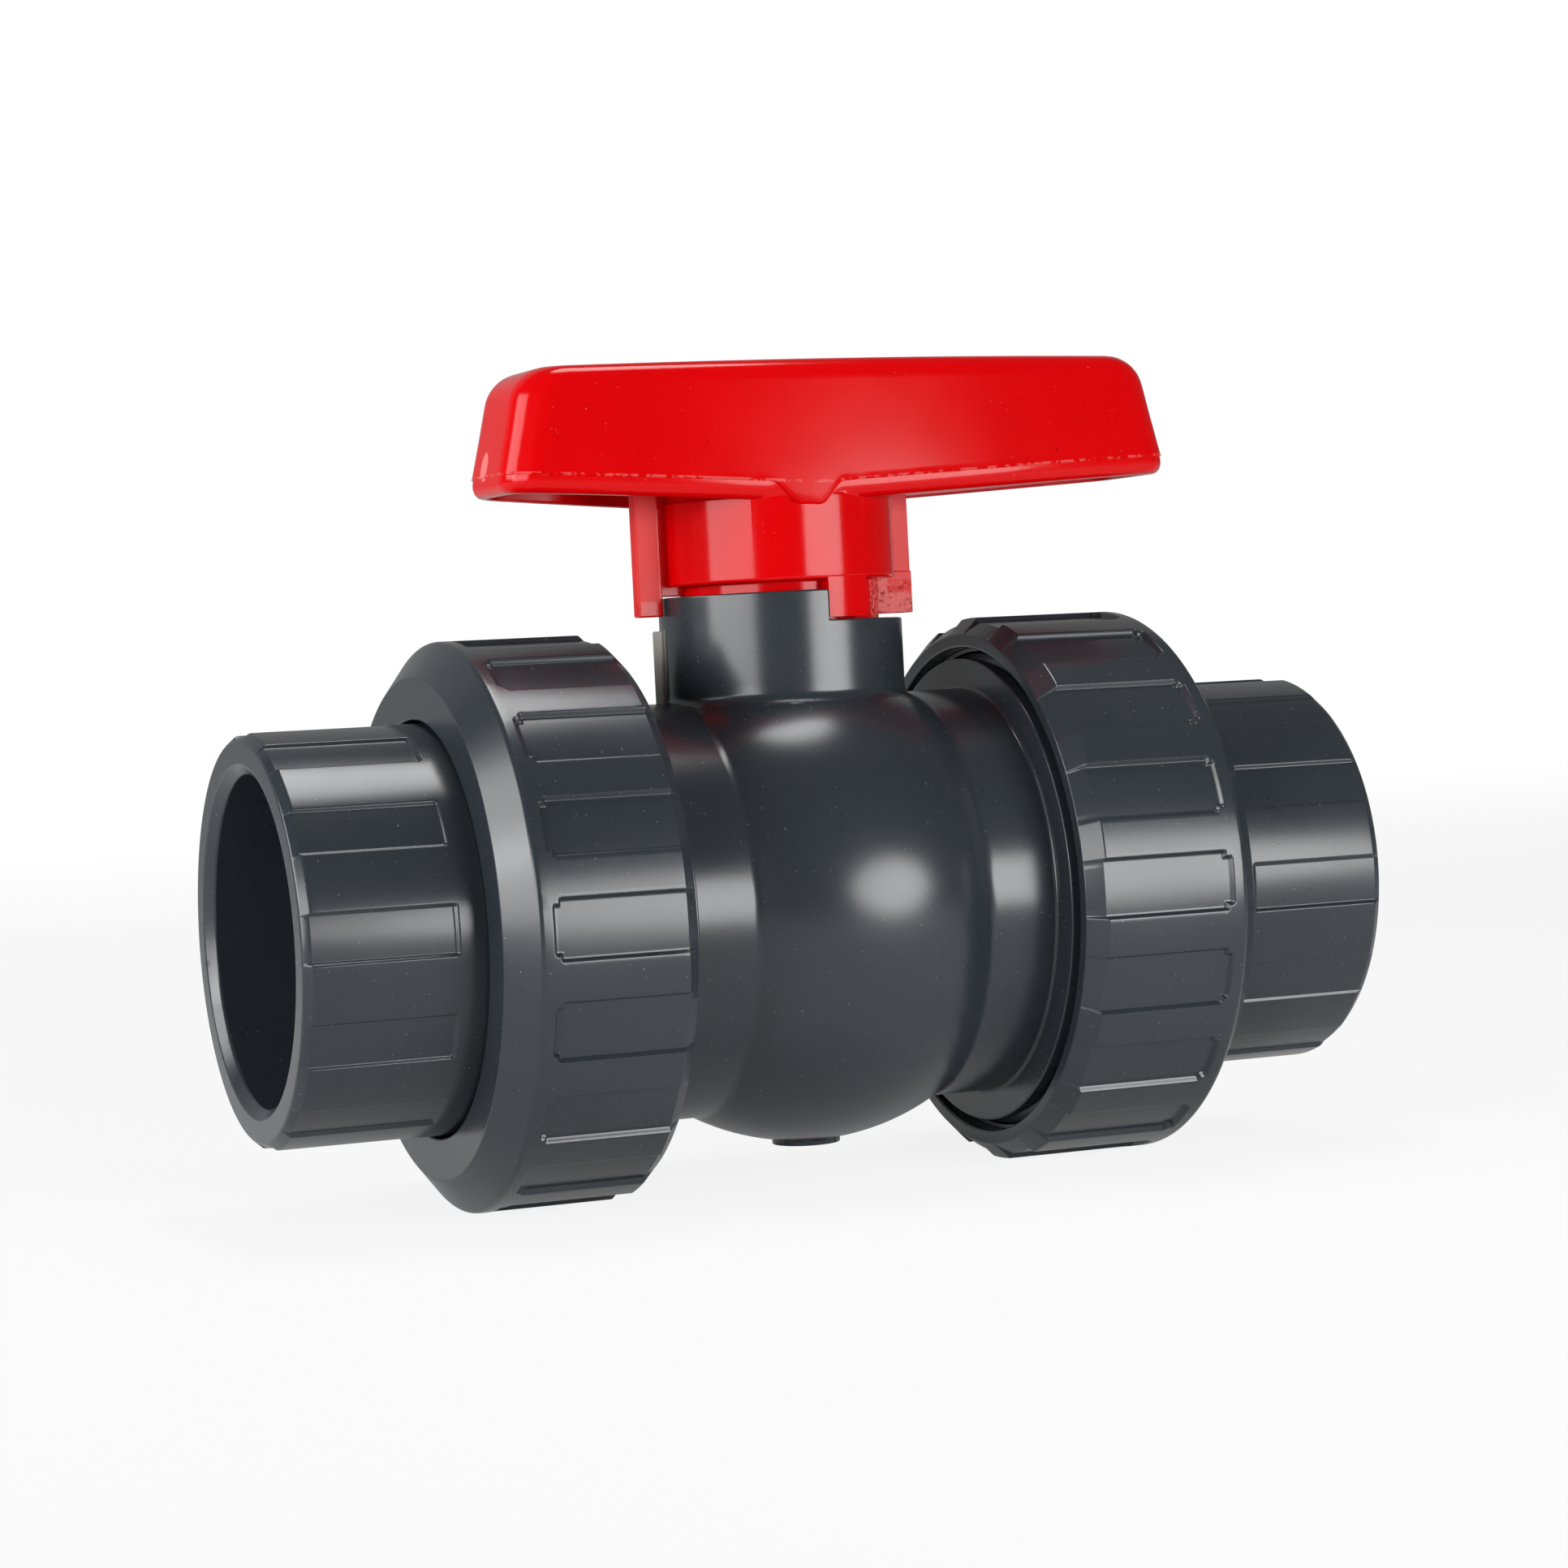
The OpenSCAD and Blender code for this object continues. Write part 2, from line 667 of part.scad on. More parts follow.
// Leaning form that rounds the wing's upright corners and leaves its long sides alone
module corner_form(wall, drop) {
    slope = end_lean / (handle_h - tip_rise);
    reach = handle_half - wall + slope * tip_rise;
    quarter = plan_corner(reach, side_r - wall, max(tip_corner - wall, least_round));
    side = concat(quarter, [[0, handle_w]], flipped(quarter));
    translate([handle_mid, 0, handle_low_z - drop])
        linear_extrude(height = handle_h + drop, slices = 1,
                       scale = [1 - slope * (handle_h + drop) / reach, 1 - 2 * side_lean / handle_w])
            polygon(concat(side, -side));
}

// Everything inside one leaning round side wall, as a large cone
module side_form(side, wall, drop) {
    slope = side_lean / handle_h;
    r = side_r - wall;
    translate([handle_mid, side * (side_r - handle_w / 2), handle_low_z - drop])
        cylinder(h = handle_h + 2 * drop, r1 = r + slope * drop, r2 = r - side_lean - slope * drop);
}

module handle() {
    color(RED) on_axis() difference() {
        union() {
            difference() {
                wing(0, 0);
                wing(handle_wall, eps);
            }
            intersection() {
                rod_z(hub_r, hub_low_z, handle_top_z - eps);
                union() {
                    rod_z(hub_r, hub_low_z, handle_low_z + eps);
                    wing(eps, 2 * eps);
                }
            }
            rod_z(spigot_r, spigot_low_z, hub_low_z + eps);
            sector_z(spigot_r - eps, hub_r - tab_inset, low_rim_z + stop_gap, hub_low_z + eps,
                     tab_start, tab_start + tab_deg);
            translate([spigot_r - eps, -prong_t / 2, prong_low_z])
                cube([prong_reach - spigot_r + eps, prong_t, prong_h]);
            translate([-prong_reach, -prong_t / 2, prong_low_z])
                cube([prong_reach - prong_in, prong_t, prong_h]);
            translate([-prong_reach, -prong_t / 2, hub_low_z])
                cube([prong_reach - hub_r + 2 * eps, prong_t, prong_top_z - hub_low_z]);
        }
        translate([-square_hole / 2, -square_hole / 2, spigot_low_z - eps])
            cube([square_hole, square_hole, square_top_z + turn_gap - spigot_low_z + eps]);
    }
}

body();
ball();
stem();
stem_ring_lower();
stem_ring_upper();
seat_left();
seat_right();
seat_ring_left();
seat_ring_right();
seat_carrier();
carrier_ring();
face_ring_left();
face_ring_right();
connector_left();
connector_right();
union_nut_left();
union_nut_right();
handle();
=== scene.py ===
import math
import random

import bmesh
import bpy
from mathutils import Matrix, Vector


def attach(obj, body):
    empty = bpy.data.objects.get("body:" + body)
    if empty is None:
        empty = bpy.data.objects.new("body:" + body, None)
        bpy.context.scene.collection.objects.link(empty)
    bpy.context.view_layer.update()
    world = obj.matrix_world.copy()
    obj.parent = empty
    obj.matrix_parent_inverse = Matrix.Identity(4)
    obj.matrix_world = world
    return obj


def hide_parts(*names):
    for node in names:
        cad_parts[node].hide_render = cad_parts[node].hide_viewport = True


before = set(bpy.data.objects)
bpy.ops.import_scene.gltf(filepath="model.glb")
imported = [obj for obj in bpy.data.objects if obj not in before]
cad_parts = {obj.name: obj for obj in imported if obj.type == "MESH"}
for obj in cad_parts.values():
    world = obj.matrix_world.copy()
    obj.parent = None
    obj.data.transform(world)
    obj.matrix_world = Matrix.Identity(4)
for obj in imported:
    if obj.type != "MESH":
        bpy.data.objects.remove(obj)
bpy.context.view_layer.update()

# The pieces are drawn in mm, x along the pipe, with heights counted from the pipe's axis.
# The studio and the camera are set in metres.

MM = 0.001
AXIS_Z = 43.8 * MM

SHORT_ARM = 48.5
LONG_ARM = 66.0
WING_FOOT = 62.6
WING_RISE = 3.2
PARTING_LINE = 65.6
HANDLE_TOP = 84.9


def above_pipe(x, y, z):
    """A point in metres from one in mm, its height counted from the pipe's axis."""
    return (x * MM, y * MM, AXIS_Z + z * MM)


# Shader groups: effects that several finishes share

def new_effect(name, inputs, outputs):
    group = bpy.data.node_groups.new(name, "ShaderNodeTree")
    for label, kind, value in inputs:
        socket = group.interface.new_socket(label, in_out="INPUT", socket_type=kind)
        if value is not None:
            socket.default_value = value
    for label, kind in outputs:
        group.interface.new_socket(label, in_out="OUTPUT", socket_type=kind)
    return group, group.nodes.new("NodeGroupInput"), group.nodes.new("NodeGroupOutput")


def math_node(tree, operation, first, second=None, third=None, clamp=False):
    node = tree.nodes.new("ShaderNodeMath")
    node.operation = operation
    node.use_clamp = clamp
    for place, value in enumerate((first, second, third)):
        if value is None:
            continue
        if isinstance(value, (int, float)):
            node.inputs[place].default_value = value
        else:
            tree.links.new(value, node.inputs[place])
    return node.outputs[0]


def plus(tree, first, second, clamp=False):
    return math_node(tree, "ADD", first, second, clamp=clamp)


def minus(tree, first, second):
    return math_node(tree, "SUBTRACT", first, second)


def times(tree, first, second):
    return math_node(tree, "MULTIPLY", first, second)


def ramp_between(tree, value, low, high, to_low=0.0, to_high=1.0):
    node = tree.nodes.new("ShaderNodeMapRange")
    node.interpolation_type = "SMOOTHSTEP"
    for label, number in (("From Min", low), ("From Max", high),
                          ("To Min", to_low), ("To Max", to_high)):
        if isinstance(number, (int, float)):
            node.inputs[label].default_value = number
        else:
            tree.links.new(number, node.inputs[label])
    tree.links.new(value, node.inputs["Value"])
    return node.outputs["Result"]


def noise_node(tree, vector, scale, detail=2.0, roughness=0.5):
    node = tree.nodes.new("ShaderNodeTexNoise")
    node.inputs["Detail"].default_value = detail
    node.inputs["Roughness"].default_value = roughness
    if isinstance(scale, (int, float)):
        node.inputs["Scale"].default_value = scale
    else:
        tree.links.new(scale, node.inputs["Scale"])
    tree.links.new(vector, node.inputs["Vector"])
    return node.outputs["Fac"]


def vector_node(group, operation, first, second=None):
    node = group.nodes.new("ShaderNodeVectorMath")
    node.operation = operation
    group.links.new(first, node.inputs[0])
    if second:
        group.links.new(second, node.inputs[1])
    return node


def make_moulded_tone():
    """Soft clouds of tone with a fine grain over them."""
    group, given, result = new_effect(
        "moulded_tone",
        [("Vector", "NodeSocketVector", None), ("Cloud Scale", "NodeSocketFloat", 40.0),
         ("Grain Scale", "NodeSocketFloat", 2200.0)],
        [("Tone", "NodeSocketFloat"), ("Height", "NodeSocketFloat")])
    cloud_weight, grain_weight = 0.72, 0.28
    place = given.outputs["Vector"]
    clouds = noise_node(group, place, given.outputs["Cloud Scale"], 3.0, 0.55)
    grain = noise_node(group, place, given.outputs["Grain Scale"], 2.0, 0.6)
    tone = plus(group, times(group, clouds, cloud_weight), times(group, grain, grain_weight))
    group.links.new(ramp_between(group, tone, 0.3, 0.7), result.inputs["Tone"])
    group.links.new(grain, result.inputs["Height"])
    return group


def make_dust_specks():
    """Small round specks of uneven size in a share of the cells."""
    group, given, result = new_effect(
        "dust_specks",
        [("Vector", "NodeSocketVector", None), ("Scale", "NodeSocketFloat", 420.0),
         ("Share", "NodeSocketFloat", 0.1), ("Size", "NodeSocketFloat", 0.07)],
        [("Mask", "NodeSocketFloat")])
    least_size, solid_core = 0.3, 0.5
    cells = group.nodes.new("ShaderNodeTexVoronoi")
    group.links.new(given.outputs["Vector"], cells.inputs["Vector"])
    group.links.new(given.outputs["Scale"], cells.inputs["Scale"])
    chance = group.nodes.new("ShaderNodeSeparateColor")
    group.links.new(cells.outputs["Color"], chance.inputs["Color"])
    chosen = math_node(group, "LESS_THAN", chance.outputs["Red"], given.outputs["Share"])
    wide = times(group, given.outputs["Size"], plus(group, chance.outputs["Green"], least_size))
    spot = ramp_between(group, cells.outputs["Distance"], times(group, wide, solid_core),
                        wide, 1.0, 0.0)
    group.links.new(times(group, spot, chosen), result.inputs["Mask"])
    return group


def make_fine_scratches():
    """Thin drawn-out lines, shown only in patches."""
    group, given, result = new_effect(
        "fine_scratches",
        [("Vector", "NodeSocketVector", None),
         ("Along", "NodeSocketVector", (1.0, 0.06, 0.06)),
         ("Scale", "NodeSocketFloat", 900.0), ("Share", "NodeSocketFloat", 0.5)],
        [("Mask", "NodeSocketFloat")])
    line_core, line_edge = 0.004, 0.014
    patch_scale, patch_fade = 95.0, 0.12
    place = given.outputs["Vector"]
    drawn = vector_node(group, "MULTIPLY", place, given.outputs["Along"])
    lines = noise_node(group, drawn.outputs["Vector"], given.outputs["Scale"], 1.0, 0.4)
    off_line = math_node(group, "ABSOLUTE", minus(group, lines, 0.5))
    thin = ramp_between(group, off_line, line_core, line_edge, 1.0, 0.0)
    where = noise_node(group, place, patch_scale, 2.0, 0.5)
    shown = ramp_between(group, where, given.outputs["Share"],
                         plus(group, given.outputs["Share"], patch_fade))
    group.links.new(times(group, thin, shown), result.inputs["Mask"])
    return group


def make_region_mask():
    """A soft-edged box and a soft-edged oval of the same half size."""
    group, given, result = new_effect(
        "region_mask",
        [("Vector", "NodeSocketVector", None),
         ("Centre", "NodeSocketVector", (0.0, 0.0, 0.0)),
         ("Half Size", "NodeSocketVector", (0.01, 0.01, 0.01)),
         ("Soft", "NodeSocketFloat", 0.1)],
        [("Box", "NodeSocketFloat"), ("Oval", "NodeSocketFloat")])
    offset = vector_node(group, "SUBTRACT", given.outputs["Vector"], given.outputs["Centre"])
    scaled = vector_node(group, "DIVIDE", offset.outputs["Vector"], given.outputs["Half Size"])
    folded = vector_node(group, "ABSOLUTE", scaled.outputs["Vector"])
    apart = group.nodes.new("ShaderNodeSeparateXYZ")
    group.links.new(folded.outputs["Vector"], apart.inputs["Vector"])
    far = math_node(group, "MAXIMUM", apart.outputs["X"], apart.outputs["Y"])
    far = math_node(group, "MAXIMUM", far, apart.outputs["Z"])
    length = vector_node(group, "LENGTH", folded.outputs["Vector"])
    edge = minus(group, 1.0, given.outputs["Soft"])
    group.links.new(ramp_between(group, far, edge, 1.0, 1.0, 0.0), result.inputs["Box"])
    group.links.new(ramp_between(group, length.outputs["Value"], edge, 1.0, 1.0, 0.0),
                    result.inputs["Oval"])
    return group


MOULDED_TONE = make_moulded_tone()
DUST_SPECKS = make_dust_specks()
FINE_SCRATCHES = make_fine_scratches()
REGION_MASK = make_region_mask()


# Finishes

BUMP_DISTANCE = 0.05 * MM


def use_effect(tree, group, vector, **values):
    node = tree.nodes.new("ShaderNodeGroup")
    node.node_tree = group
    tree.links.new(vector, node.inputs["Vector"])
    for label, value in values.items():
        node.inputs[label.replace("_", " ")].default_value = value
    return node


def colour_mix(tree, share, first, second):
    node = tree.nodes.new("ShaderNodeMix")
    node.data_type = "RGBA"
    if isinstance(share, (int, float)):
        node.inputs["Factor"].default_value = share
    else:
        tree.links.new(share, node.inputs["Factor"])
    for label, colour in (("A", first), ("B", second)):
        place = [s for s in node.inputs if s.name == label and s.type == "RGBA"][0]
        if isinstance(colour, tuple):
            place.default_value = colour + (1.0,)
        else:
            tree.links.new(colour, place)
    return [s for s in node.outputs if s.type == "RGBA"][0]


def new_finish(name):
    finish = bpy.data.materials.new(name)
    finish.use_nodes = True
    tree = finish.node_tree
    shader = tree.nodes["Principled BSDF"]
    place = tree.nodes.new("ShaderNodeTexCoord").outputs["Object"]
    return finish, tree, shader, place


def bump_from(tree, shader, height, strength):
    bump = tree.nodes.new("ShaderNodeBump")
    bump.inputs["Strength"].default_value = strength
    bump.inputs["Distance"].default_value = BUMP_DISTANCE
    tree.links.new(height, bump.inputs["Height"])
    tree.links.new(bump.outputs["Normal"], shader.inputs["Normal"])


class Moulded:
    """Tone, dust, small dents darkened with painted shade, and scratches of one moulded plastic,
    before its own marks are added.
    """

    def __init__(self, name, deep, light, dust, dust_share, pit_share, scuff_share, scuff_depth):
        self.finish, self.tree, self.shader, self.place = new_finish(name)
        tree = self.tree
        tone = use_effect(tree, MOULDED_TONE, self.place)
        coarse = self.specks(scale=620.0, share=dust_share, size=0.085)
        fine = self.specks(scale=1250.0, share=dust_share * 0.8, size=0.13)
        pit_dents_and_shade = self.specks(scale=330.0, share=pit_share, size=0.075)
        lines = use_effect(tree, FINE_SCRATCHES, self.place, Share=scuff_share).outputs["Mask"]
        pale = plus(tree, times(tree, coarse, 0.38), times(tree, fine, 0.3), clamp=True)
        pale = plus(tree, pale, times(tree, lines, scuff_depth), clamp=True)
        clean = colour_mix(tree, tone.outputs["Tone"], deep, light)
        # Painted shade: the small dents are darkened to a shaded copy of the plastic's colour.
        pit_painted_shade = tuple(c * 0.35 for c in deep)
        pitted_with_shade = colour_mix(tree, times(tree, pit_dents_and_shade, 0.8), clean, pit_painted_shade)
        self.colour = colour_mix(tree, pale, pitted_with_shade, dust)
        self.rough = plus(tree, times(tree, tone.outputs["Tone"], 0.05), times(tree, pale, 0.35))
        height = plus(tree, tone.outputs["Height"], times(tree, pale, 1.5))
        self.height = minus(tree, height, times(tree, pit_dents_and_shade, 2.0))

    def specks(self, scale, share, size):
        node = use_effect(self.tree, DUST_SPECKS, self.place, Scale=scale, Share=share, Size=size)
        return node.outputs["Mask"]

    def region(self, shape, centre, half_size, soft):
        """Mask of a box or an oval, its centre and half size in mm."""
        node = use_effect(self.tree, REGION_MASK, self.place, Centre=above_pipe(*centre),
                          Half_Size=tuple(half * MM for half in half_size), Soft=soft)
        return node.outputs[shape]

    def mark(self, mask, colour, share, rougher, relief=None):
        """Adds a mark: a share of its colour, more roughness, and its own relief."""
        tree = self.tree
        self.colour = colour_mix(tree, times(tree, mask, share), self.colour, colour)
        self.rough = plus(tree, self.rough, times(tree, mask, rougher))
        if relief is not None:
            self.height = plus(tree, self.height, times(tree, mask, relief))

    def done(self, gloss, specular, bump):
        tree = self.tree
        tree.links.new(self.colour, self.shader.inputs["Base Color"])
        tree.links.new(plus(tree, self.rough, gloss, clamp=True), self.shader.inputs["Roughness"])
        self.shader.inputs["Specular IOR Level"].default_value = specular
        bump_from(tree, self.shader, self.height, bump)
        return self.finish


def make_pvc_grey():
    pvc = Moulded("pvc_grey_moulded", deep=(0.021, 0.0265, 0.0325), light=(0.025, 0.031, 0.0375),
                  dust=(0.30, 0.31, 0.31), dust_share=0.3, pit_share=0.35, scuff_share=0.66,
                  scuff_depth=0.03)
    # Pale, rougher patch on the collar rib's end face: a painted highlight standing in for light
    # reflected by that face.
    rib_end_painted_highlight = pvc.region("Box", (-19.8, 3.5, 37.6), (0.7, 2.4, 6.6), 0.05)
    pvc.mark(rib_end_painted_highlight, (0.34, 0.32, 0.29), 0.8, 0.2)
    return pvc.done(0.21, 0.5, 0.07)


def mark_torn_foot(red):
    """The right prong's torn foot: rough, with pale flakes, and painted shade darkening its
    hollows.
    """
    tree = red.tree
    foot = red.region("Box", (16.9, -4.6, 46.9), (6.4, 8.4, 3.6), 0.04)
    torn = noise_node(tree, red.place, 1600.0, 3.0, 0.6)
    red.mark(foot, (0.62, 0.05, 0.045), 0.45, 0.18, times(tree, torn, 20.0))
    flakes = times(tree, foot, ramp_between(tree, torn, 0.51, 0.57))
    red.mark(flakes, (0.80, 0.20, 0.18), 0.6, 0.2)
    # Painted shade: the low parts of the torn relief get a dark red.
    hollow_painted_shade = times(tree, foot, ramp_between(tree, torn, 0.36, 0.42, 1.0, 0.0))
    red.mark(hollow_painted_shade, (0.15, 0.0, 0.0), 0.75, 0.2)


def mark_parting_line(red):
    """The broken pale line where the mould parts, which climbs with the wing's lower edge."""
    tree = red.tree
    apart = tree.nodes.new("ShaderNodeSeparateXYZ")
    tree.links.new(red.place, apart.inputs["Vector"])
    rise = math_node(tree, "MAXIMUM", times(tree, apart.outputs["X"], WING_RISE / LONG_ARM),
                     times(tree, apart.outputs["X"], -WING_RISE / SHORT_ARM))
    level = minus(tree, apart.outputs["Z"], rise)
    off = math_node(tree, "ABSOLUTE", minus(tree, level, AXIS_Z + PARTING_LINE * MM))
    breaks = noise_node(tree, red.place, 600.0, 2.0, 0.6)
    line = times(tree, ramp_between(tree, off, 0.12 * MM, 0.3 * MM, 1.0, 0.0),
                 ramp_between(tree, breaks, 0.47, 0.56))
    red.mark(line, (0.80, 0.22, 0.20), 0.3, 0.2)


def make_handle_red():
    red = Moulded("handle_red_moulded", deep=(0.56, 0.0003, 0.0012), light=(0.62, 0.0005, 0.0018),
                  dust=(0.80, 0.16, 0.14), dust_share=0.22, pit_share=0.3, scuff_share=0.7,
                  scuff_depth=0.05)
    gate = red.region("Oval", (-47.5, 1.4, 70.3), (4.0, 1.7, 2.4), 0.15)
    red.mark(gate, (0.86, 0.30, 0.28), 0.55, 0.25, -2.0)
    mark_torn_foot(red)
    for prong_x in (-22.4, 20.7):
        prong = red.region("Box", (prong_x, 0.8, 57.0), (2.4, 2.6, 9.0), 0.1)
        red.mark(prong, (0.72, 0.05, 0.045), 0.3, 0.25)
    mark_parting_line(red)
    return red.done(0.11, 0.2, 0.06)


def make_inner_finish(name, cloud_scale, grain_scale, deep, light, speck, speck_share,
                      rough_span, rough_least, bump):
    """Finish of the seats and rings inside the valve: tone, grain and a few specks."""
    finish, tree, shader, place = new_finish(name)
    tone = use_effect(tree, MOULDED_TONE, place, Cloud_Scale=cloud_scale, Grain_Scale=grain_scale)
    specks = use_effect(tree, DUST_SPECKS, place, Share=speck_share).outputs["Mask"]
    clean = colour_mix(tree, tone.outputs["Tone"], deep, light)
    rough = math_node(tree, "MULTIPLY_ADD", tone.outputs["Tone"], rough_span, rough_least)
    tree.links.new(colour_mix(tree, specks, clean, speck), shader.inputs["Base Color"])
    tree.links.new(rough, shader.inputs["Roughness"])
    bump_from(tree, shader, tone.outputs["Height"], bump)
    return finish


PVC_GREY = make_pvc_grey()
HANDLE_RED = make_handle_red()
SEAT_WHITE = make_inner_finish(
    "seat_white_turned", cloud_scale=60.0, grain_scale=1500.0, deep=(0.74, 0.74, 0.71),
    light=(0.80, 0.80, 0.78), speck=(0.45, 0.44, 0.41), speck_share=0.05,
    rough_span=0.1, rough_least=0.4, bump=0.2)
RUBBER_BLACK = make_inner_finish(
    "rubber_black_moulded", cloud_scale=90.0, grain_scale=3000.0, deep=(0.009, 0.009, 0.010),
    light=(0.016, 0.016, 0.017), speck=(0.12, 0.12, 0.12), speck_share=0.14,
    rough_span=0.15, rough_least=0.5, bump=0.3)

CAD_FINISH = {
    "body": PVC_GREY, "ball": PVC_GREY, "stem": PVC_GREY, "seat_carrier": PVC_GREY,
    "connector_left": PVC_GREY, "connector_right": PVC_GREY,
    "union_nut_left": PVC_GREY, "union_nut_right": PVC_GREY,
    "handle": HANDLE_RED, "seat_left": SEAT_WHITE, "seat_right": SEAT_WHITE,
    "seat_ring_left": RUBBER_BLACK, "seat_ring_right": RUBBER_BLACK,
    "carrier_ring": RUBBER_BLACK,
    "face_ring_left": RUBBER_BLACK, "face_ring_right": RUBBER_BLACK,
    "stem_ring_lower": RUBBER_BLACK, "stem_ring_upper": RUBBER_BLACK,
}
for cad_node, cad_finish in CAD_FINISH.items():
    for material_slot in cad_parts[cad_node].material_slots:
        material_slot.material = cad_finish


# Modelling helpers

CORNER_STEP = 16.0
UNMOVED_SHARE = 0.99998
UP_ROUND_PIPE = (-1.0, 0.0, 0.0)
DOWN_ROUND_PIPE = (1.0, 0.0, 0.0)


def make_active(piece):
    bpy.ops.object.select_all(action="DESELECT")
    piece.select_set(True)
    bpy.context.view_layer.objects.active = piece


def start_edit(piece):
    make_active(piece)
    bpy.ops.object.mode_set(mode="EDIT")


def end_edit():
    bpy.ops.object.mode_set(mode="OBJECT")


def pick(piece, kind, test):
    """Selects the vertices, edges or faces that pass a test, and nothing else."""
    bpy.ops.mesh.select_mode(type=kind)
    bpy.ops.mesh.select_all(action="DESELECT")
    mesh = bmesh.from_edit_mesh(piece.data)
    parts = {"VERT": mesh.verts, "EDGE": mesh.edges, "FACE": mesh.faces}[kind]
    for part in [part for part in parts if test(part)]:
        part.select_set(True)
    bmesh.update_edit_mesh(piece.data)


def draw_outline(name, points, closed=True):
    """Draws an outline point by point and leaves it in edit mode, all of it selected."""
    bpy.ops.object.select_all(action="DESELECT")
    bpy.ops.mesh.primitive_plane_add(size=MM, location=(0.0, 0.0, 0.0))
    piece = bpy.context.object
    piece.name = name
    bpy.ops.object.mode_set(mode="EDIT")
    bpy.ops.mesh.select_mode(type="VERT")
    bpy.ops.mesh.select_all(action="SELECT")
    bpy.ops.mesh.merge(type="CENTER")
    bpy.ops.transform.translate(value=points[0])
    for before, after in zip(points, points[1:]):
        step = tuple(b - a for a, b in zip(before, after))
        bpy.ops.mesh.extrude_vertices_move(TRANSFORM_OT_translate={"value": step})
    if closed:
        mesh = bmesh.from_edit_mesh(piece.data)
        mesh.verts.ensure_lookup_table()
        mesh.verts[0].select_set(True)
        mesh.verts[-1].select_set(True)
        bmesh.update_edit_mesh(piece.data)
        bpy.ops.mesh.edge_face_add()
    bpy.ops.mesh.select_mode(type="VERT")
    bpy.ops.mesh.select_all(action="SELECT")
    return piece


def eased(corners):
    """Rounds the corners of a closed profile; each corner is (along, out, rounding) in mm."""
    points = []
    count = len(corners)
    for i, (x, r, ease) in enumerate(corners):
        here = Vector((x, r))
        back = Vector(corners[i - 1][:2]) - here
        on = Vector(corners[(i + 1) % count][:2]) - here
        if ease <= 0.0 or back.length < 1e-6 or on.length < 1e-6:
            points.append((x, r))
            continue
        half = back.angle(on) / 2.0
        reach = min(ease / math.tan(half), back.length * 0.49, on.length * 0.49)
        ease = reach * math.tan(half)
        inward = (back.normalized() + on.normalized()).normalized()
        centre = here + inward * (ease / math.sin(half))
        first = here + back.normalized() * reach - centre
        swing = first.angle_signed(here + on.normalized() * reach - centre)
        steps = max(1, int(math.ceil(abs(math.degrees(swing)) / CORNER_STEP)))
        for k in range(steps + 1):
            a = -swing * k / steps
            points.append((centre.x + first.x * math.cos(a) - first.y * math.sin(a),
                           centre.y + first.x * math.sin(a) + first.y * math.cos(a)))
    return points


def tidy_shell(piece, smooth_angle=32.0, merge=0.002):
    """Merges doubles, turns the faces outwards and shades the piece."""
    start_edit(piece)
    bpy.ops.mesh.select_all(action="SELECT")
    bpy.ops.mesh.remove_doubles(threshold=merge * MM)
    bpy.ops.mesh.normals_make_consistent(inside=False)
    end_edit()
    bpy.ops.object.shade_smooth_by_angle(angle=math.radians(smooth_angle))
    flat = piece.modifiers.new("flat_faces", "WEIGHTED_NORMAL")
    flat.keep_sharp = True
    flat.weight = 80
    bpy.ops.object.modifier_apply(modifier=flat.name)


def about_pipe(x, r, turn):
    """Point in metres at x along the pipe, r out from it, turned up from the near side."""
    a = math.radians(turn)
    return above_pipe(x, -r * math.cos(a), r * math.sin(a))


def about_stem(r, z, turn):
    """Point in metres r out from the stem's axis, z above the pipe, turned from +X."""
    a = math.radians(turn)
    return above_pipe(r * math.cos(a), r * math.sin(a), z)


def spin_on_pipe(axis, degrees, steps, copies=False):
    bpy.ops.mesh.spin(steps=steps, angle=math.radians(degrees), center=(0.0, 0.0, AXIS_Z),
                      axis=axis, dupli=copies)


def spin_on_stem(degrees, steps):
    bpy.ops.mesh.spin(steps=steps, angle=math.radians(degrees), center=(0.0, 0.0, 0.0),
                      axis=(0.0, 0.0, 1.0))


def sink(piece, depth_at):
    """Draws vertices in towards the pipe, those with the same share in one go."""
    groups = {}
    mesh = bmesh.from_edit_mesh(piece.data)
    for v in mesh.verts:
        out = math.hypot(v.co.y, v.co.z - AXIS_Z) / MM
        turn = math.degrees(math.atan2(v.co.z - AXIS_Z, -v.co.y))
        share = depth_at(v.co.x / MM, out, turn) / out
        if share < UNMOVED_SHARE:
            groups.setdefault(round(share, 4), set()).add(v.index)
    for share, chosen in sorted(groups.items()):
        pick(piece, "VERT", lambda v: v.index in chosen)
        bpy.ops.transform.resize(value=(1.0, share, share), center_override=(0.0, 0.0, AXIS_Z))


def ease_in(value, low, high):
    t = min(1.0, max(0.0, (value - low) / (high - low)))
    return t * t * (3.0 - 2.0 * t)


def combine(piece, other, how):
    """Joins another mesh into a piece, or cuts it out, and removes the other."""
    make_active(piece)
    step = piece.modifiers.new("combine", "BOOLEAN")
    step.operation = how
    step.solver = "EXACT"
    step.object = other
    bpy.ops.object.modifier_apply(modifier=step.name)
    bpy.data.objects.remove(other)


def turned_upright(name, corners):
    """Turns (out, height, rounding) corners round the stem axis; open where it meets the axis."""
    profile = [above_pipe(r, 0.0, z) for r, z in eased(corners)]
    piece = draw_outline(name, profile, closed=corners[0][0] > 0.0)
    spin_on_stem(360.0, 96)
    end_edit()
    tidy_shell(piece)
    return piece


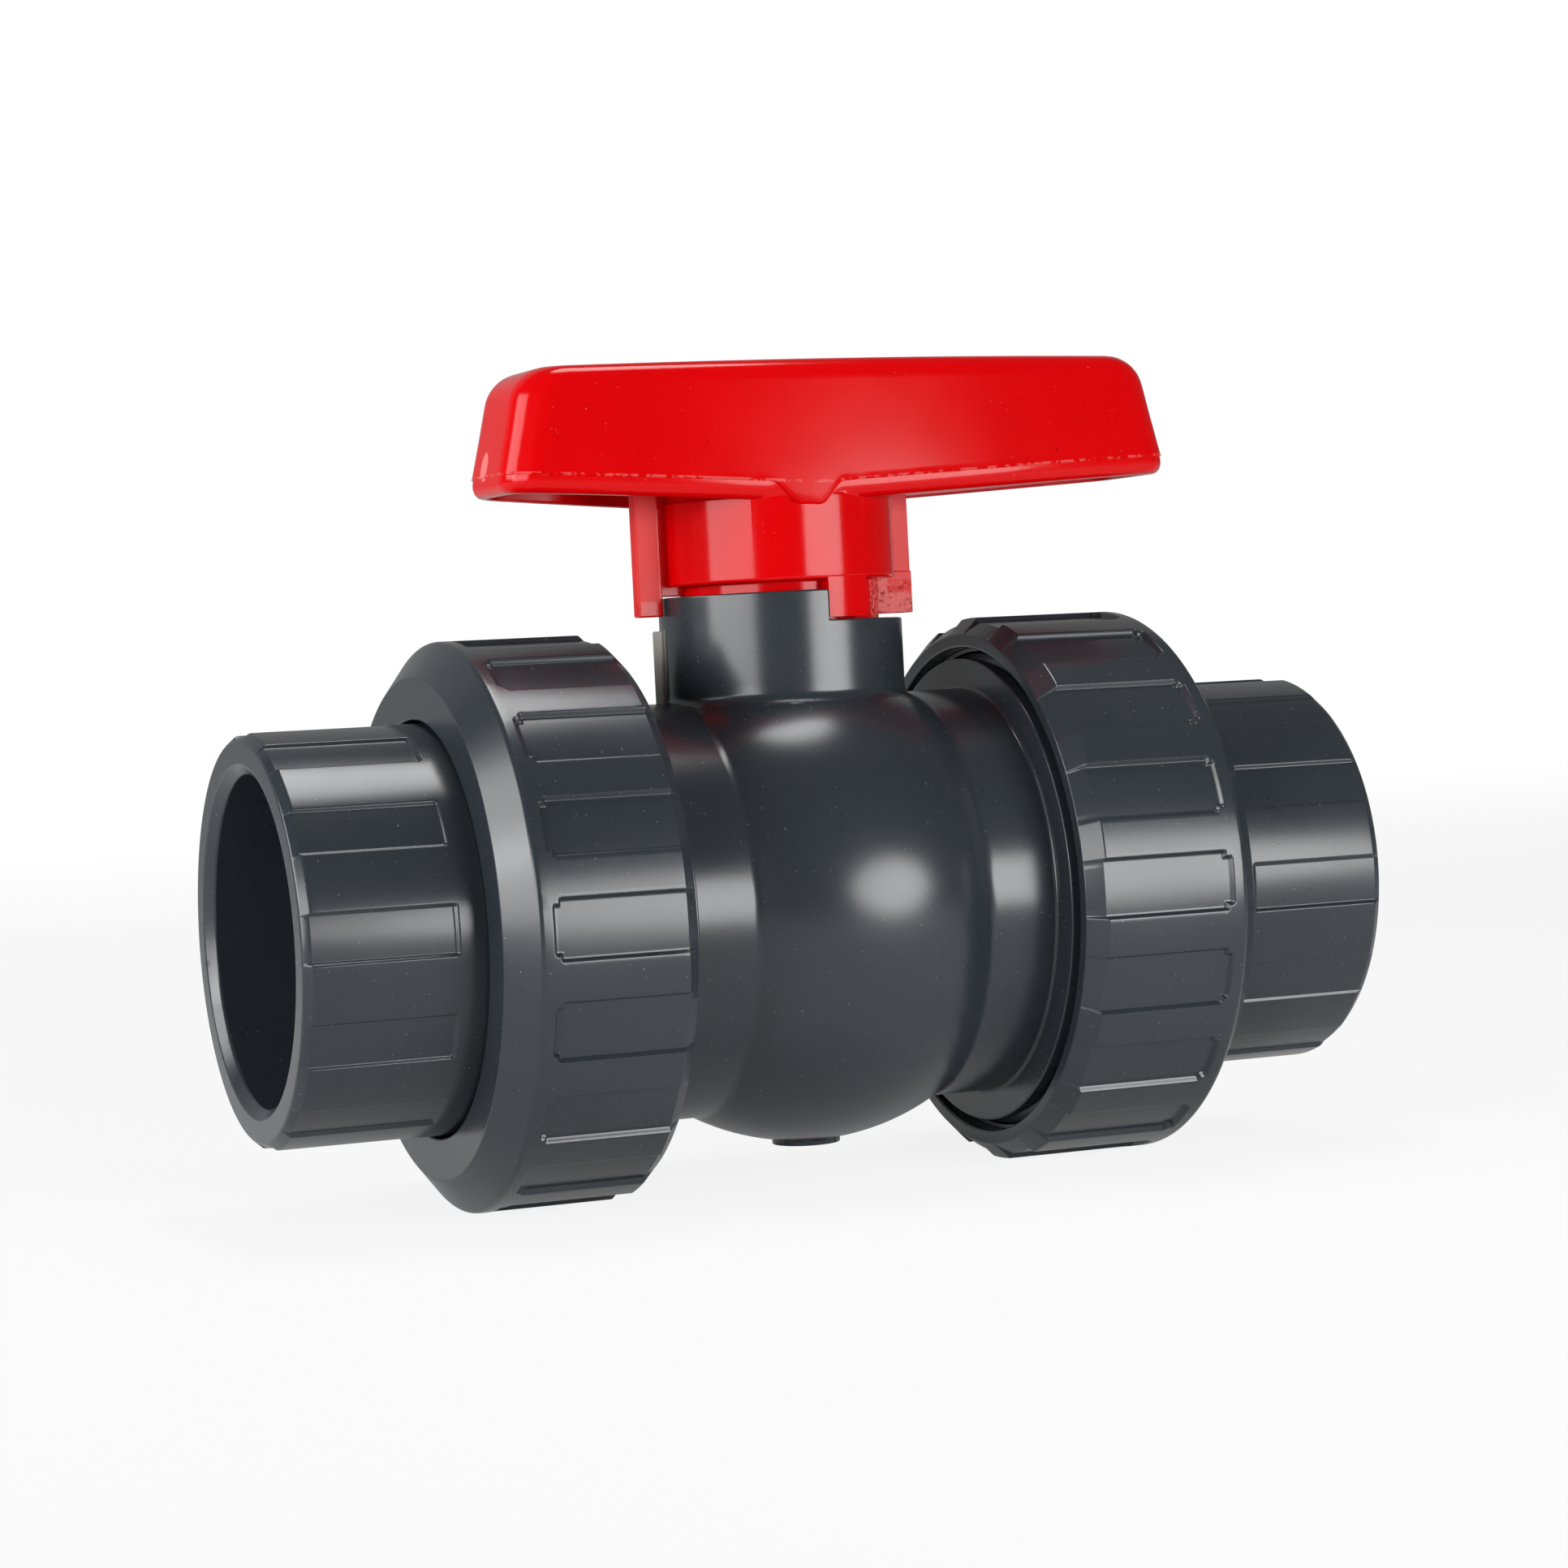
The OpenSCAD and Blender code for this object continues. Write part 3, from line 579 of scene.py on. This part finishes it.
def block(name, low, high, ease):
    """A moulded block between two corners in mm, with eased edges."""
    bpy.ops.object.select_all(action="DESELECT")
    middle = above_pipe(*((a + b) / 2.0 for a, b in zip(low, high)))
    size = [(b - a) * MM for a, b in zip(low, high)]
    bpy.ops.mesh.primitive_cube_add(size=1.0, location=middle, scale=size)
    piece = bpy.context.object
    piece.name = name
    bpy.ops.object.transform_apply(location=True, rotation=True, scale=True)
    if ease > 0.0:
        start_edit(piece)
        bpy.ops.mesh.select_all(action="SELECT")
        bpy.ops.mesh.bevel(offset=ease * MM, segments=2, affect="EDGES")
        end_edit()
    return piece


def dress(piece, finish, body, node):
    piece.data.materials.clear()
    piece.data.materials.append(finish)
    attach(piece, body)
    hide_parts(node)


# Grip panels of the nuts and connectors

PANEL_CORNER = 0.35


def outside_panel(along, across, end, half):
    """Distance outside a panel that runs from far off up to its end, with rounded corners."""
    a = along - end + PANEL_CORNER
    b = abs(across) - half + PANEL_CORNER
    return math.hypot(max(a, 0.0), max(b, 0.0)) + min(max(a, b), 0.0) - PANEL_CORNER


def across_panel(radius, angle, turn, pitch):
    """Arc from the middle of the nearest panel."""
    return radius * math.radians((angle - turn + pitch / 2) % pitch - pitch / 2)


def make_panelled_ring(name, profile, turn, pitch, half_columns, depth_at):
    """Models the sector of one panel, sinks the panel and copies the sector round the pipe."""
    columns = [-c for c in reversed(half_columns)] + [0.0] + list(half_columns)
    piece = draw_outline(name, [about_pipe(x, r, turn + columns[0]) for x, r in profile])
    for before, after in zip(columns, columns[1:]):
        spin_on_pipe(UP_ROUND_PIPE, after - before, 1)
    sink(piece, depth_at)
    bpy.ops.mesh.select_all(action="SELECT")
    more = round(360.0 / pitch) - 1
    spin_on_pipe(UP_ROUND_PIPE, more * pitch, more, copies=True)
    end_edit()
    tidy_shell(piece)
    return piece


def thread_ring(x, root_r, tip_r, root_ease=0, tip_ease=0):
    """Corners of one thread ring, 2 mm wide at its root and 1 mm at its tip."""
    return [(x - 1.0, root_r, root_ease), (x - 0.5, tip_r, tip_ease),
            (x + 0.5, tip_r, tip_ease), (x + 1.0, root_r, root_ease)]


# Union nuts

NUT_R = 43.8
NUT_BORE_R = 38.3
NUT_ROWS = (55.6, 55.4, 55.25, 55.1, 54.95, 54.8, 54.6, 54.4, 54.25, 54.1, 53.95, 53.8, 53.6,
            53.3, 49.0, 44.0, 39.0, 36.0)
NUT_COLUMNS = (1.6, 3.0, 4.0, 4.25, 4.45, 4.6, 4.75, 4.9, 5.1, 5.4, 5.6, 5.75, 5.9, 6.05, 6.2,
               6.45, 7.0, 8.4, 10.0)
# By side: where the inner bevel starts and ends, its smaller radius, and how far the recess goes
NUT_INNER_RIM = {1: (33.6, 30.9, 41.1, 33.9), -1: (34.6, 32.5, 41.7, 34.4)}


def nut_profile(side):
    flange_r, rim_r = 32.0, 39.0
    bevel_x, rim_x, bevel_r, recess_x = NUT_INNER_RIM[side]
    corners = [(61.5, flange_r, 0.35), (61.5, 38.5, 0.6), (57.3, NUT_R, 1.2)]
    corners += [(x, NUT_R, 0) for x in NUT_ROWS]
    corners += [(bevel_x, NUT_R, 0.5), (rim_x, bevel_r, 0.5), (rim_x, rim_r, 0.5),
                (recess_x, rim_r, 0.2), (recess_x, NUT_BORE_R, 0.2)]
    for x in (36.5, 40.5, 44.5, 48.5, 52.5):
        corners += thread_ring(x, NUT_BORE_R, 37.1)
    corners += [(54.9, NUT_BORE_R, 0), (54.9, flange_r, 0.2)]
    return [(side * x, r) for x, r in eased(corners)]


def make_nut(name, side, body, node):
    turn, pitch, deep, soft = 1.6, 20.0, 0.8, 0.33

    def depth_at(x, out, angle):
        if out < NUT_R - deep + 0.02:
            return out
        across = across_panel(NUT_R, angle, turn, pitch)
        off = min(outside_panel(abs(x), across, 54.15, 4.51),
                  outside_panel(abs(x), across, 55.05, 3.63))
        return min(out, NUT_R - deep * ease_in(-off, -soft, soft))

    piece = make_panelled_ring(name, nut_profile(side), turn, pitch, NUT_COLUMNS, depth_at)
    dress(piece, PVC_GREY, body, node)


make_nut("nut_left_moulded", -1, "nut_left", "union_nut_left")
make_nut("nut_right_moulded", 1, "nut_right", "union_nut_right")


# End connectors

SOCKET_R = 31.5
SOCKET_BORE_R = 25.1
SOCKET_ROWS = (60.0, 64.6, 65.1, 65.35, 65.5, 65.65, 65.8, 65.95, 66.1, 66.25, 66.5, 67.0, 70.0,
               76.0, 82.0, 86.0)
SOCKET_COLUMNS = (2.0, 4.0, 5.6, 6.0, 6.2, 6.4, 6.55, 6.7, 6.85, 7.0, 7.2, 7.5, 8.5, 11.0, 15.0)


def connector_profile(side):
    way_r, flange_r, stop_x = 20.0, 36.8, 58.0
    corners = [(48.0, way_r, 0.3), (48.0, flange_r, 0.4), (54.6, flange_r, 0.4),
               (54.6, SOCKET_R, 0.3)]
    corners += [(x, SOCKET_R, 0) for x in SOCKET_ROWS]
    corners += [(87.6, SOCKET_R, 0.9), (89.0, 30.3, 0.8), (89.0, 26.7, 0.7),
                (87.6, SOCKET_BORE_R, 0.8), (stop_x, SOCKET_BORE_R, 0.3), (stop_x, way_r, 0.4)]
    return [(side * x, r) for x, r in eased(corners)]


def make_connector(name, side, turn, node):
    pitch, deep, soft = 30.0, 0.5, 0.3

    def depth_at(x, out, angle):
        if out < SOCKET_R - deep - 0.6 or abs(x) < 60.0:
            return out
        across = across_panel(SOCKET_R, angle, turn, pitch)
        off = outside_panel(-abs(x), across, -65.8, 3.68)
        return min(out, SOCKET_R - deep * ease_in(-off, -soft, soft))

    profile = connector_profile(side)
    piece = make_panelled_ring(name, profile, turn, pitch, SOCKET_COLUMNS, depth_at)
    dress(piece, PVC_GREY, "valve_body", node)


make_connector("connector_left_moulded", -1, 3.0, "connector_left")
make_connector("connector_right_moulded", 1, -2.0, "connector_right")


# Handle

WING_WALL = 3.0
WING_CORNER = 6.5
WING_INNER_CORNER = 3.5
WING_MID_X = 8.75
WING_ARC_R = 223.7
WING_ARC_BACK = 205.0


def stack_rings(name, rings):
    """Extrudes an outline ring by ring, sets each copy on its ring, and closes both ends."""
    placed = [[above_pipe(*point) for point in ring] for ring in rings]
    piece = draw_outline(name, placed[0])
    mesh = bmesh.from_edit_mesh(piece.data)
    spot = mesh.verts.layers.int.new("spot")
    drawn = [Vector(point) for point in placed[0]]
    for v in mesh.verts:
        v[spot] = min(range(len(drawn)), key=lambda i: (v.co - drawn[i]).length)
    bmesh.update_edit_mesh(piece.data)
    bpy.ops.mesh.edge_face_add()
    for ring in placed[1:]:
        bpy.ops.mesh.select_mode(type="FACE")
        bpy.ops.mesh.extrude_region_move(TRANSFORM_OT_translate={"value": (0.0, 0.0, 0.0)})
        mesh = bmesh.from_edit_mesh(piece.data)
        spot = mesh.verts.layers.int["spot"]
        for v in mesh.verts:
            if v.select:
                v.co = ring[v[spot]]
        bmesh.update_edit_mesh(piece.data)
    end_edit()
    return piece


def wing_low(x):
    """Height of the wing's lower edge, which climbs from the hub to both tips."""
    return WING_FOOT + WING_RISE * (x / LONG_ARM if x > 0.0 else -x / SHORT_ARM)


def tongue(x):
    """How far the parting line dips into the small tongue at the hub."""
    return 3.4 * (1.0 - ease_in(abs(x + 1.6), 1.7, 6.0))


def wing_ring(height, side_in, end_in, corner, proud=None):
    """One plan outline of the wing: two long arcs, rounded corners and two end walls."""
    side_points, corner_steps = 130, 8

    def side_r(z):
        return WING_ARC_R - 2.0 * (z - 62.4) / 22.8 - side_in

    def end_round(side, reach):
        z = height(side * reach)
        wall = side * (reach - 4.5 * (z - PARTING_LINE) / 19.6 - end_in)
        centre_x = wall - side * corner
        span = (side_r(z) - corner) ** 2 - (centre_x - WING_MID_X) ** 2
        centre_y = max(0.0, math.sqrt(span) - WING_ARC_BACK)
        meet = math.atan2(centre_y + WING_ARC_BACK, centre_x - WING_MID_X)
        first = 0.0 if side > 0 else math.pi
        turns = [first + (meet - first) * k / corner_steps for k in range(corner_steps + 1)]
        return [(centre_x + corner * math.cos(a), centre_y + corner * math.sin(a)) for a in turns]

    left = end_round(-1, SHORT_ARM)
    right = end_round(1, LONG_ARM)
    half = list(left)
    for k in range(1, side_points):
        x = left[-1][0] + (right[-1][0] - left[-1][0]) * k / side_points
        arc = math.sqrt(side_r(height(x)) ** 2 - (x - WING_MID_X) ** 2)
        half.append((x, arc - WING_ARC_BACK))
    half += reversed(right)
    ring = [(x, -y, height(x)) for x, y in half]
    ring += [(x, y, height(x)) for x, y in reversed(half)]
    if proud:
        spread = []
        for (x, y, z), out in zip(ring, proud):
            away = Vector((x - WING_MID_X, y * 9.0)).normalized() * out
            spread.append((x + away.x, y + away.y, z))
        ring = spread
    return ring


def rolled(reach, depth):
    """How far a rolled edge draws in at a depth below its top."""
    return reach - math.sqrt(reach ** 2 - (reach - depth) ** 2) if depth < reach else 0.0


def wing_rings():
    """Rings of the hollow wing: up from inside its top, round the lip and over the outside."""
    rings = []
    hollow_top = HANDLE_TOP - 3.0
    for d in (0.0, 0.15, 0.5, 1.0, 1.5, 2.5, 4.0):
        rings.append(wing_ring(lambda x: hollow_top - d, WING_WALL + rolled(1.5, d),
                               WING_WALL + rolled(2.0, d), WING_INNER_CORNER))
    for up, wall, corner in ((0.5, WING_WALL, WING_INNER_CORNER), (0.1, 2.85, 3.65),
                             (0.0, 2.5, 4.0)):
        rings.append(wing_ring(lambda x: wing_low(x) + up, wall, wall, corner))

    lip = 2.8
    for angle in (0.0, 20.0, 40.0, 60.0, 75.0, 90.0):
        a = math.radians(angle)
        inset = 0.2 + 1.9 * (1.0 - math.sin(a))
        rise = 1.0 - math.cos(a)
        rings.append(wing_ring(lambda x: wing_low(x) + (lip - tongue(x)) * rise, inset, inset,
                               WING_CORNER - inset))

    chance = random.Random(11)
    flash = [0.03 + 0.13 * chance.random() ** 2 + (0.12 if chance.random() > 0.93 else 0.0)
             for _ in rings[0]]
    rings.append(wing_ring(lambda x: wing_low(x) + 2.88 - tongue(x), 0.0, 0.0, WING_CORNER, flash))
    flash = [f * (0.3 + 0.6 * chance.random()) for f in flash]
    rings.append(wing_ring(lambda x: wing_low(x) + 3.06 - tongue(x), 0.0, 0.0, WING_CORNER, flash))

    for rise, share in ((3.3, 1.0), (4.0, 0.85), (5.2, 0.55), (7.1, 0.2), (9.5, 0.0)):
        rings.append(wing_ring(lambda x: wing_low(x) + rise - tongue(x) * share, 0.0, 0.0,
                               WING_CORNER))
    for d in (5.0, 4.2, 3.5, 3.0, 2.5, 2.0, 1.5, 1.1, 0.75, 0.42, 0.2, 0.05, 0.0):
        inset = rolled(3.0, d)
        rings.append(wing_ring(lambda x: HANDLE_TOP - d, inset, rolled(4.75, d),
                               WING_CORNER - inset))
    return rings


def make_stop_tab():
    """The tab under the hub that runs against the stop rim."""
    inner_r, outer_r, low, high = 15.2, 18.3, 44.7, 51.6
    corners = [(inner_r, low), (outer_r, low), (outer_r, high), (inner_r, high)]
    piece = draw_outline("stop_tab", [about_stem(r, z, -87.4) for r, z in corners])
    bpy.ops.mesh.edge_face_add()
    spin_on_stem(-23.4, 10)
    end_edit()
    tidy_shell(piece)
    return piece


def make_hub():
    spigot_r, hub_r, low, step, high = 15.7, 18.4, 42.0, 50.6, 63.7
    hub = turned_upright("hub", [(0.0, low, 0), (spigot_r, low, 0.4), (spigot_r, step, 0.3),
                                 (hub_r, step, 0.6), (hub_r, high, 0.2), (0.0, high, 0)])
    notch = block("spigot_notch", (13.6, -9.5, 41.5), (17.0, 2.5, 50.2), 0.0)
    combine(hub, notch, "DIFFERENCE")
    return hub


def make_handle():
    handle = stack_rings("handle_moulded", wing_rings())
    tidy_shell(handle)
    core = turned_upright("hub_core", [(0.0, 62.0, 0), (17.9, 62.0, 0), (16.2, 82.4, 0),
                                       (0.0, 82.4, 0)])
    hub = make_hub()
    combine(handle, core, "UNION")
    combine(handle, hub, "UNION")
    combine(handle, make_stop_tab(), "UNION")
    for name, low, high, ease in (
            ("prong_right", (16.6, -0.8, 46.0), (22.6, 1.95, 69.0), 0.25),
            ("prong_foot", (16.5, -1.0, 45.1), (22.7, 2.0, 51.8), 0.2),
            ("prong_left", (-23.75, 0.0, 46.1), (-19.6, 2.5, 69.0), 0.3),
            ("prong_root", (-23.0, 0.6, 49.2), (-15.0, 2.3, 68.5), 0.2)):
        combine(handle, block(name, low, high, ease), "UNION")
    square_hole = block("square_hole", (-6.6, -6.6, 41.0), (6.6, 6.6, 60.3), 0.0)
    combine(handle, square_hole, "DIFFERENCE")
    tidy_shell(handle, 30.0, 0.001)
    dress(handle, HANDLE_RED, "handle", "handle")


make_handle()


# Body

BELLY_R = 37.7
NECK_R = 32.5
END_X = 48.0
THREAD_ROOT_R = 36.8
LOW_RIM = 44.3


def belly_blend(fillet):
    """Profile from the middle of the belly over its fillet to the neck, on the +X side."""
    belly_steps, fillet_steps = 14, 7
    rise = NECK_R + fillet
    mid = math.sqrt((BELLY_R + fillet) ** 2 - rise ** 2)
    touch = math.asin(mid / (BELLY_R + fillet))
    corners = []
    for k in range(belly_steps + 1):
        a = touch * k / belly_steps
        corners.append((BELLY_R * math.sin(a), BELLY_R * math.cos(a), 0))
    for k in range(1, fillet_steps + 1):
        a = touch * (1.0 - k / fillet_steps)
        corners.append((mid - fillet * math.sin(a), rise - fillet * math.cos(a), 0))
    return corners


def body_end_corners():
    """Neck, shoulder, union thread and the outer part of one end face, going outwards."""
    shoulder_r, groove_x, groove_outer_r, groove_inner_r = 37.3, 45.592, 35.95, 32.85
    corners = [(30.5, NECK_R, 0.6), (30.5, shoulder_r, 0.3), (32.5, shoulder_r, 0.3),
               (32.5, THREAD_ROOT_R, 0.15)]
    for x in (34.5, 38.5, 42.5, 46.5):
        corners += thread_ring(x, THREAD_ROOT_R, 38.0, 0.1, 0.18)
    return corners + [(END_X, THREAD_ROOT_R, 0.3), (END_X, groove_outer_r, 0.2),
                      (groove_x, groove_outer_r, 0), (groove_x, groove_inner_r, 0),
                      (END_X, groove_inner_r, 0.2)]


def body_profile():
    right = belly_blend(5.0) + body_end_corners()
    left = belly_blend(3.0)[1:] + body_end_corners()
    inside = [(END_X, 31.05, 0.4), (32.0, 31.05, 0), (32.0, 29.4, 0), (-16.0, 29.4, 0),
              (-16.0, 26.05, 0), (-24.5, 26.05, 0), (-24.5, 24.2, 0), (-26.736, 24.2, 0),
              (-26.736, 21.3, 0), (-24.5, 21.3, 0), (-24.5, 19.5, 0), (-END_X, 19.5, 0.3)]
    return eased(right + inside + [(-x, r, e) for x, r, e in reversed(left)])


def make_collar():
    """The stem housing, with its recess, low rim and the higher stop rim."""
    low_from, low_turn, stop_turn, stop_height = -88.6, 185.8, 174.2, 4.7
    collar_r, recess_r, foot, recess_floor = 19.2, 16.2, 31.0, 41.0
    profile = [(0.0, foot), (20.8, foot), (20.3, 31.77), (19.9, 32.08), (19.55, 32.48),
               (19.3, 32.95)]
    profile += [(collar_r, z) for z in (33.5, 35.0, 36.5, 38.0, 39.5, 41.0, 42.5, LOW_RIM)]
    profile += [(recess_r, LOW_RIM), (recess_r, recess_floor), (0.0, recess_floor)]
    outline = [about_stem(r, z, low_from) for r, z in profile]
    collar = draw_outline("collar", outline, closed=False)
    for turn, steps in ((low_turn, 62), (stop_turn, 58)):
        spin_on_stem(-turn, steps)
    bpy.ops.mesh.select_all(action="SELECT")
    bpy.ops.mesh.remove_doubles(threshold=0.002 * MM)
    bpy.ops.mesh.normals_make_consistent(inside=False)
    rim, close = AXIS_Z + LOW_RIM * MM, 0.01 * MM

    def on_stop(face):
        middle = face.calc_center_median()
        turn = (math.degrees(math.atan2(middle.y, middle.x)) - low_from) % 360.0
        return abs(middle.z - rim) < close and turn > low_turn

    pick(collar, "FACE", on_stop)
    lift = (0.0, 0.0, stop_height * MM)
    bpy.ops.mesh.extrude_region_move(TRANSFORM_OT_translate={"value": lift})

    def on_rim(edge):
        low = min(v.co.z for v in edge.verts)
        if low < rim - close or len(edge.link_faces) != 2:
            return False
        return edge.calc_face_angle() > math.radians(60.0)

    pick(collar, "EDGE", on_rim)
    bpy.ops.mesh.bevel(offset=0.3 * MM, segments=2)
    end_edit()
    tidy_shell(collar)
    return collar


def make_body():
    piece = draw_outline("body_moulded", [about_pipe(x, r, 0.0) for x, r in body_profile()])
    spin_on_pipe(DOWN_ROUND_PIPE, 360.0, 180)
    end_edit()
    tidy_shell(piece)
    combine(piece, make_collar(), "UNION")
    combine(piece, block("collar_rib", (-19.75, 1.6, 31.0), (-17.0, 5.4, 43.9), 0.25), "UNION")
    foot_pad = turned_upright("foot_pad", [(0.0, -38.25, 0), (5.4, -38.25, 0.2), (5.4, -34.0, 0),
                                           (0.0, -34.0, 0)])
    combine(piece, foot_pad, "UNION")
    stem_way = turned_upright("stem_way", [(0.0, 20.0, 0), (13.3, 20.0, 0), (13.3, 32.5, 0),
                                           (10.05, 32.5, 0), (10.05, 43.0, 0), (0.0, 43.0, 0)])
    combine(piece, stem_way, "DIFFERENCE")
    tidy_shell(piece, 30.0, 0.001)
    dress(piece, PVC_GREY, "valve_body", "body")


make_body()


# Studio: floor with a swept back, soft boxes and the camera, in metres

FLOOR_WIDTH = 8.0
BACK_HEIGHT = 5.0
SWEEP = 1.6
BACK_EDGE_Y = 3.9


def shape_studio_floor():
    bpy.ops.object.select_all(action="DESELECT")
    bpy.ops.mesh.primitive_plane_add(size=FLOOR_WIDTH, location=(0.0, 0.0, 0.0))
    floor = bpy.context.object
    floor.name = "studio_floor"
    bpy.ops.object.mode_set(mode="EDIT")
    mesh = bmesh.from_edit_mesh(floor.data)
    for edge in mesh.edges:
        edge.select_set(all(v.co.y > BACK_EDGE_Y for v in edge.verts))
    mesh.select_flush_mode()
    bmesh.update_edit_mesh(floor.data)
    up = (0.0, 0.0, BACK_HEIGHT)
    bpy.ops.mesh.extrude_region_move(TRANSFORM_OT_translate={"value": up})
    mesh = bmesh.from_edit_mesh(floor.data)
    for edge in mesh.edges:
        edge.select_set(all(v.co.y > BACK_EDGE_Y and v.co.z < 0.1 for v in edge.verts))
    bmesh.update_edit_mesh(floor.data)
    bpy.ops.mesh.bevel(offset=SWEEP, segments=16)
    bpy.ops.object.mode_set(mode="OBJECT")
    bpy.ops.object.shade_smooth()
    return floor


def make_paper_white():
    """Matt paper that looks plain white to the camera and keeps the object's shadow."""
    near_white, far_white, mirrored_share = 0.86, 1.0, 0.3
    paper = bpy.data.materials.new("studio_paper_white")
    paper.use_nodes = True
    tree = paper.node_tree
    tree.nodes.clear()
    place = tree.nodes.new("ShaderNodeTexCoord").outputs["Object"]
    matt = tree.nodes.new("ShaderNodeBsdfDiffuse")
    tone = noise_node(tree, place, 3.0)
    grey = colour_mix(tree, tone, (0.58, 0.58, 0.58), (0.60, 0.60, 0.60))
    tree.links.new(grey, matt.inputs["Color"])
    plain = tree.nodes.new("ShaderNodeEmission")
    plain.inputs["Strength"].default_value = 1.0
    path = tree.nodes.new("ShaderNodeLightPath")
    mirrored = times(tree, path.outputs["Is Glossy Ray"], mirrored_share)
    seen = math_node(tree, "MAXIMUM", path.outputs["Is Camera Ray"], mirrored)
    seen = math_node(tree, "MAXIMUM", seen, path.outputs["Is Transmission Ray"])
    where = tree.nodes.new("ShaderNodeSeparateXYZ")
    tree.links.new(place, where.inputs["Vector"])
    even = ramp_between(tree, where.outputs["Y"], 0.3, 1.6, near_white, far_white)
    mix = tree.nodes.new("ShaderNodeMixShader")
    tree.links.new(times(tree, seen, even), mix.inputs["Fac"])
    tree.links.new(matt.outputs["BSDF"], mix.inputs[1])
    tree.links.new(plain.outputs["Emission"], mix.inputs[2])
    out = tree.nodes.new("ShaderNodeOutputMaterial")
    tree.links.new(mix.outputs["Shader"], out.inputs["Surface"])
    return paper


def make_studio_floor():
    floor = shape_studio_floor()
    floor.data.materials.append(make_paper_white())


def add_soft_box(name, place, target, wide, high, watts, shape="RECTANGLE"):
    light = bpy.data.lights.new(name, "AREA")
    light.shape = shape
    light.size = wide
    light.size_y = high
    light.energy = watts
    lamp = bpy.data.objects.new(name, light)
    bpy.context.scene.collection.objects.link(lamp)
    lamp.location = place
    aim = Vector(target) - Vector(place)
    lamp.rotation_euler = aim.to_track_quat("-Z", "Y").to_euler()


def make_lights():
    middle, air_light = (0.0, 0.0, 0.06), 0.1
    add_soft_box("left_soft_box", (-0.698, -0.275, 0.169), middle, 0.65, 0.27, 4.0)
    add_soft_box("left_rear_soft_box", (-0.698, 0.098, 0.317), middle, 0.40, 0.29, 2.4)
    add_soft_box("right_soft_box", (0.205, -0.455, 0.107), (0.0, 0.0, 0.107), 0.345, 0.21, 1.8,
                 "ELLIPSE")
    add_soft_box("top_soft_box", (0.071, 0.098, 0.955), middle, 0.42, 0.42, 4.2, "ELLIPSE")
    world = bpy.data.worlds.new("studio_air")
    bpy.context.scene.world = world
    world.use_nodes = True
    air = world.node_tree.nodes["Background"]
    air.inputs["Color"].default_value = (1.0, 1.0, 1.0, 1.0)
    air.inputs["Strength"].default_value = air_light


def make_camera():
    """The camera that was fitted to the photograph: turned, tipped and slightly rolled."""
    place, lens = (-0.23726, -0.57669, 0.08057), 90.31
    yaw, pitch, roll = math.radians(22.299), math.radians(-1.650), math.radians(-2.85)
    ahead = Vector((math.sin(yaw) * math.cos(pitch), math.cos(yaw) * math.cos(pitch),
                    math.sin(pitch)))
    level = Vector((math.cos(yaw), -math.sin(yaw), 0.0))
    upright = level.cross(ahead)
    right = level * math.cos(roll) + upright * math.sin(roll)
    up = upright * math.cos(roll) - level * math.sin(roll)
    data = bpy.data.cameras.new("photo_camera")
    data.sensor_width = 36.0
    data.lens = lens
    data.clip_start = 0.01
    camera = bpy.data.objects.new("photo_camera", data)
    bpy.context.scene.collection.objects.link(camera)
    turn = Matrix((right, up, -ahead)).transposed().to_4x4()
    camera.matrix_world = Matrix.Translation(place) @ turn
    bpy.context.scene.camera = camera


make_studio_floor()
make_lights()
make_camera()
bpy.context.scene.view_settings.view_transform = "Standard"
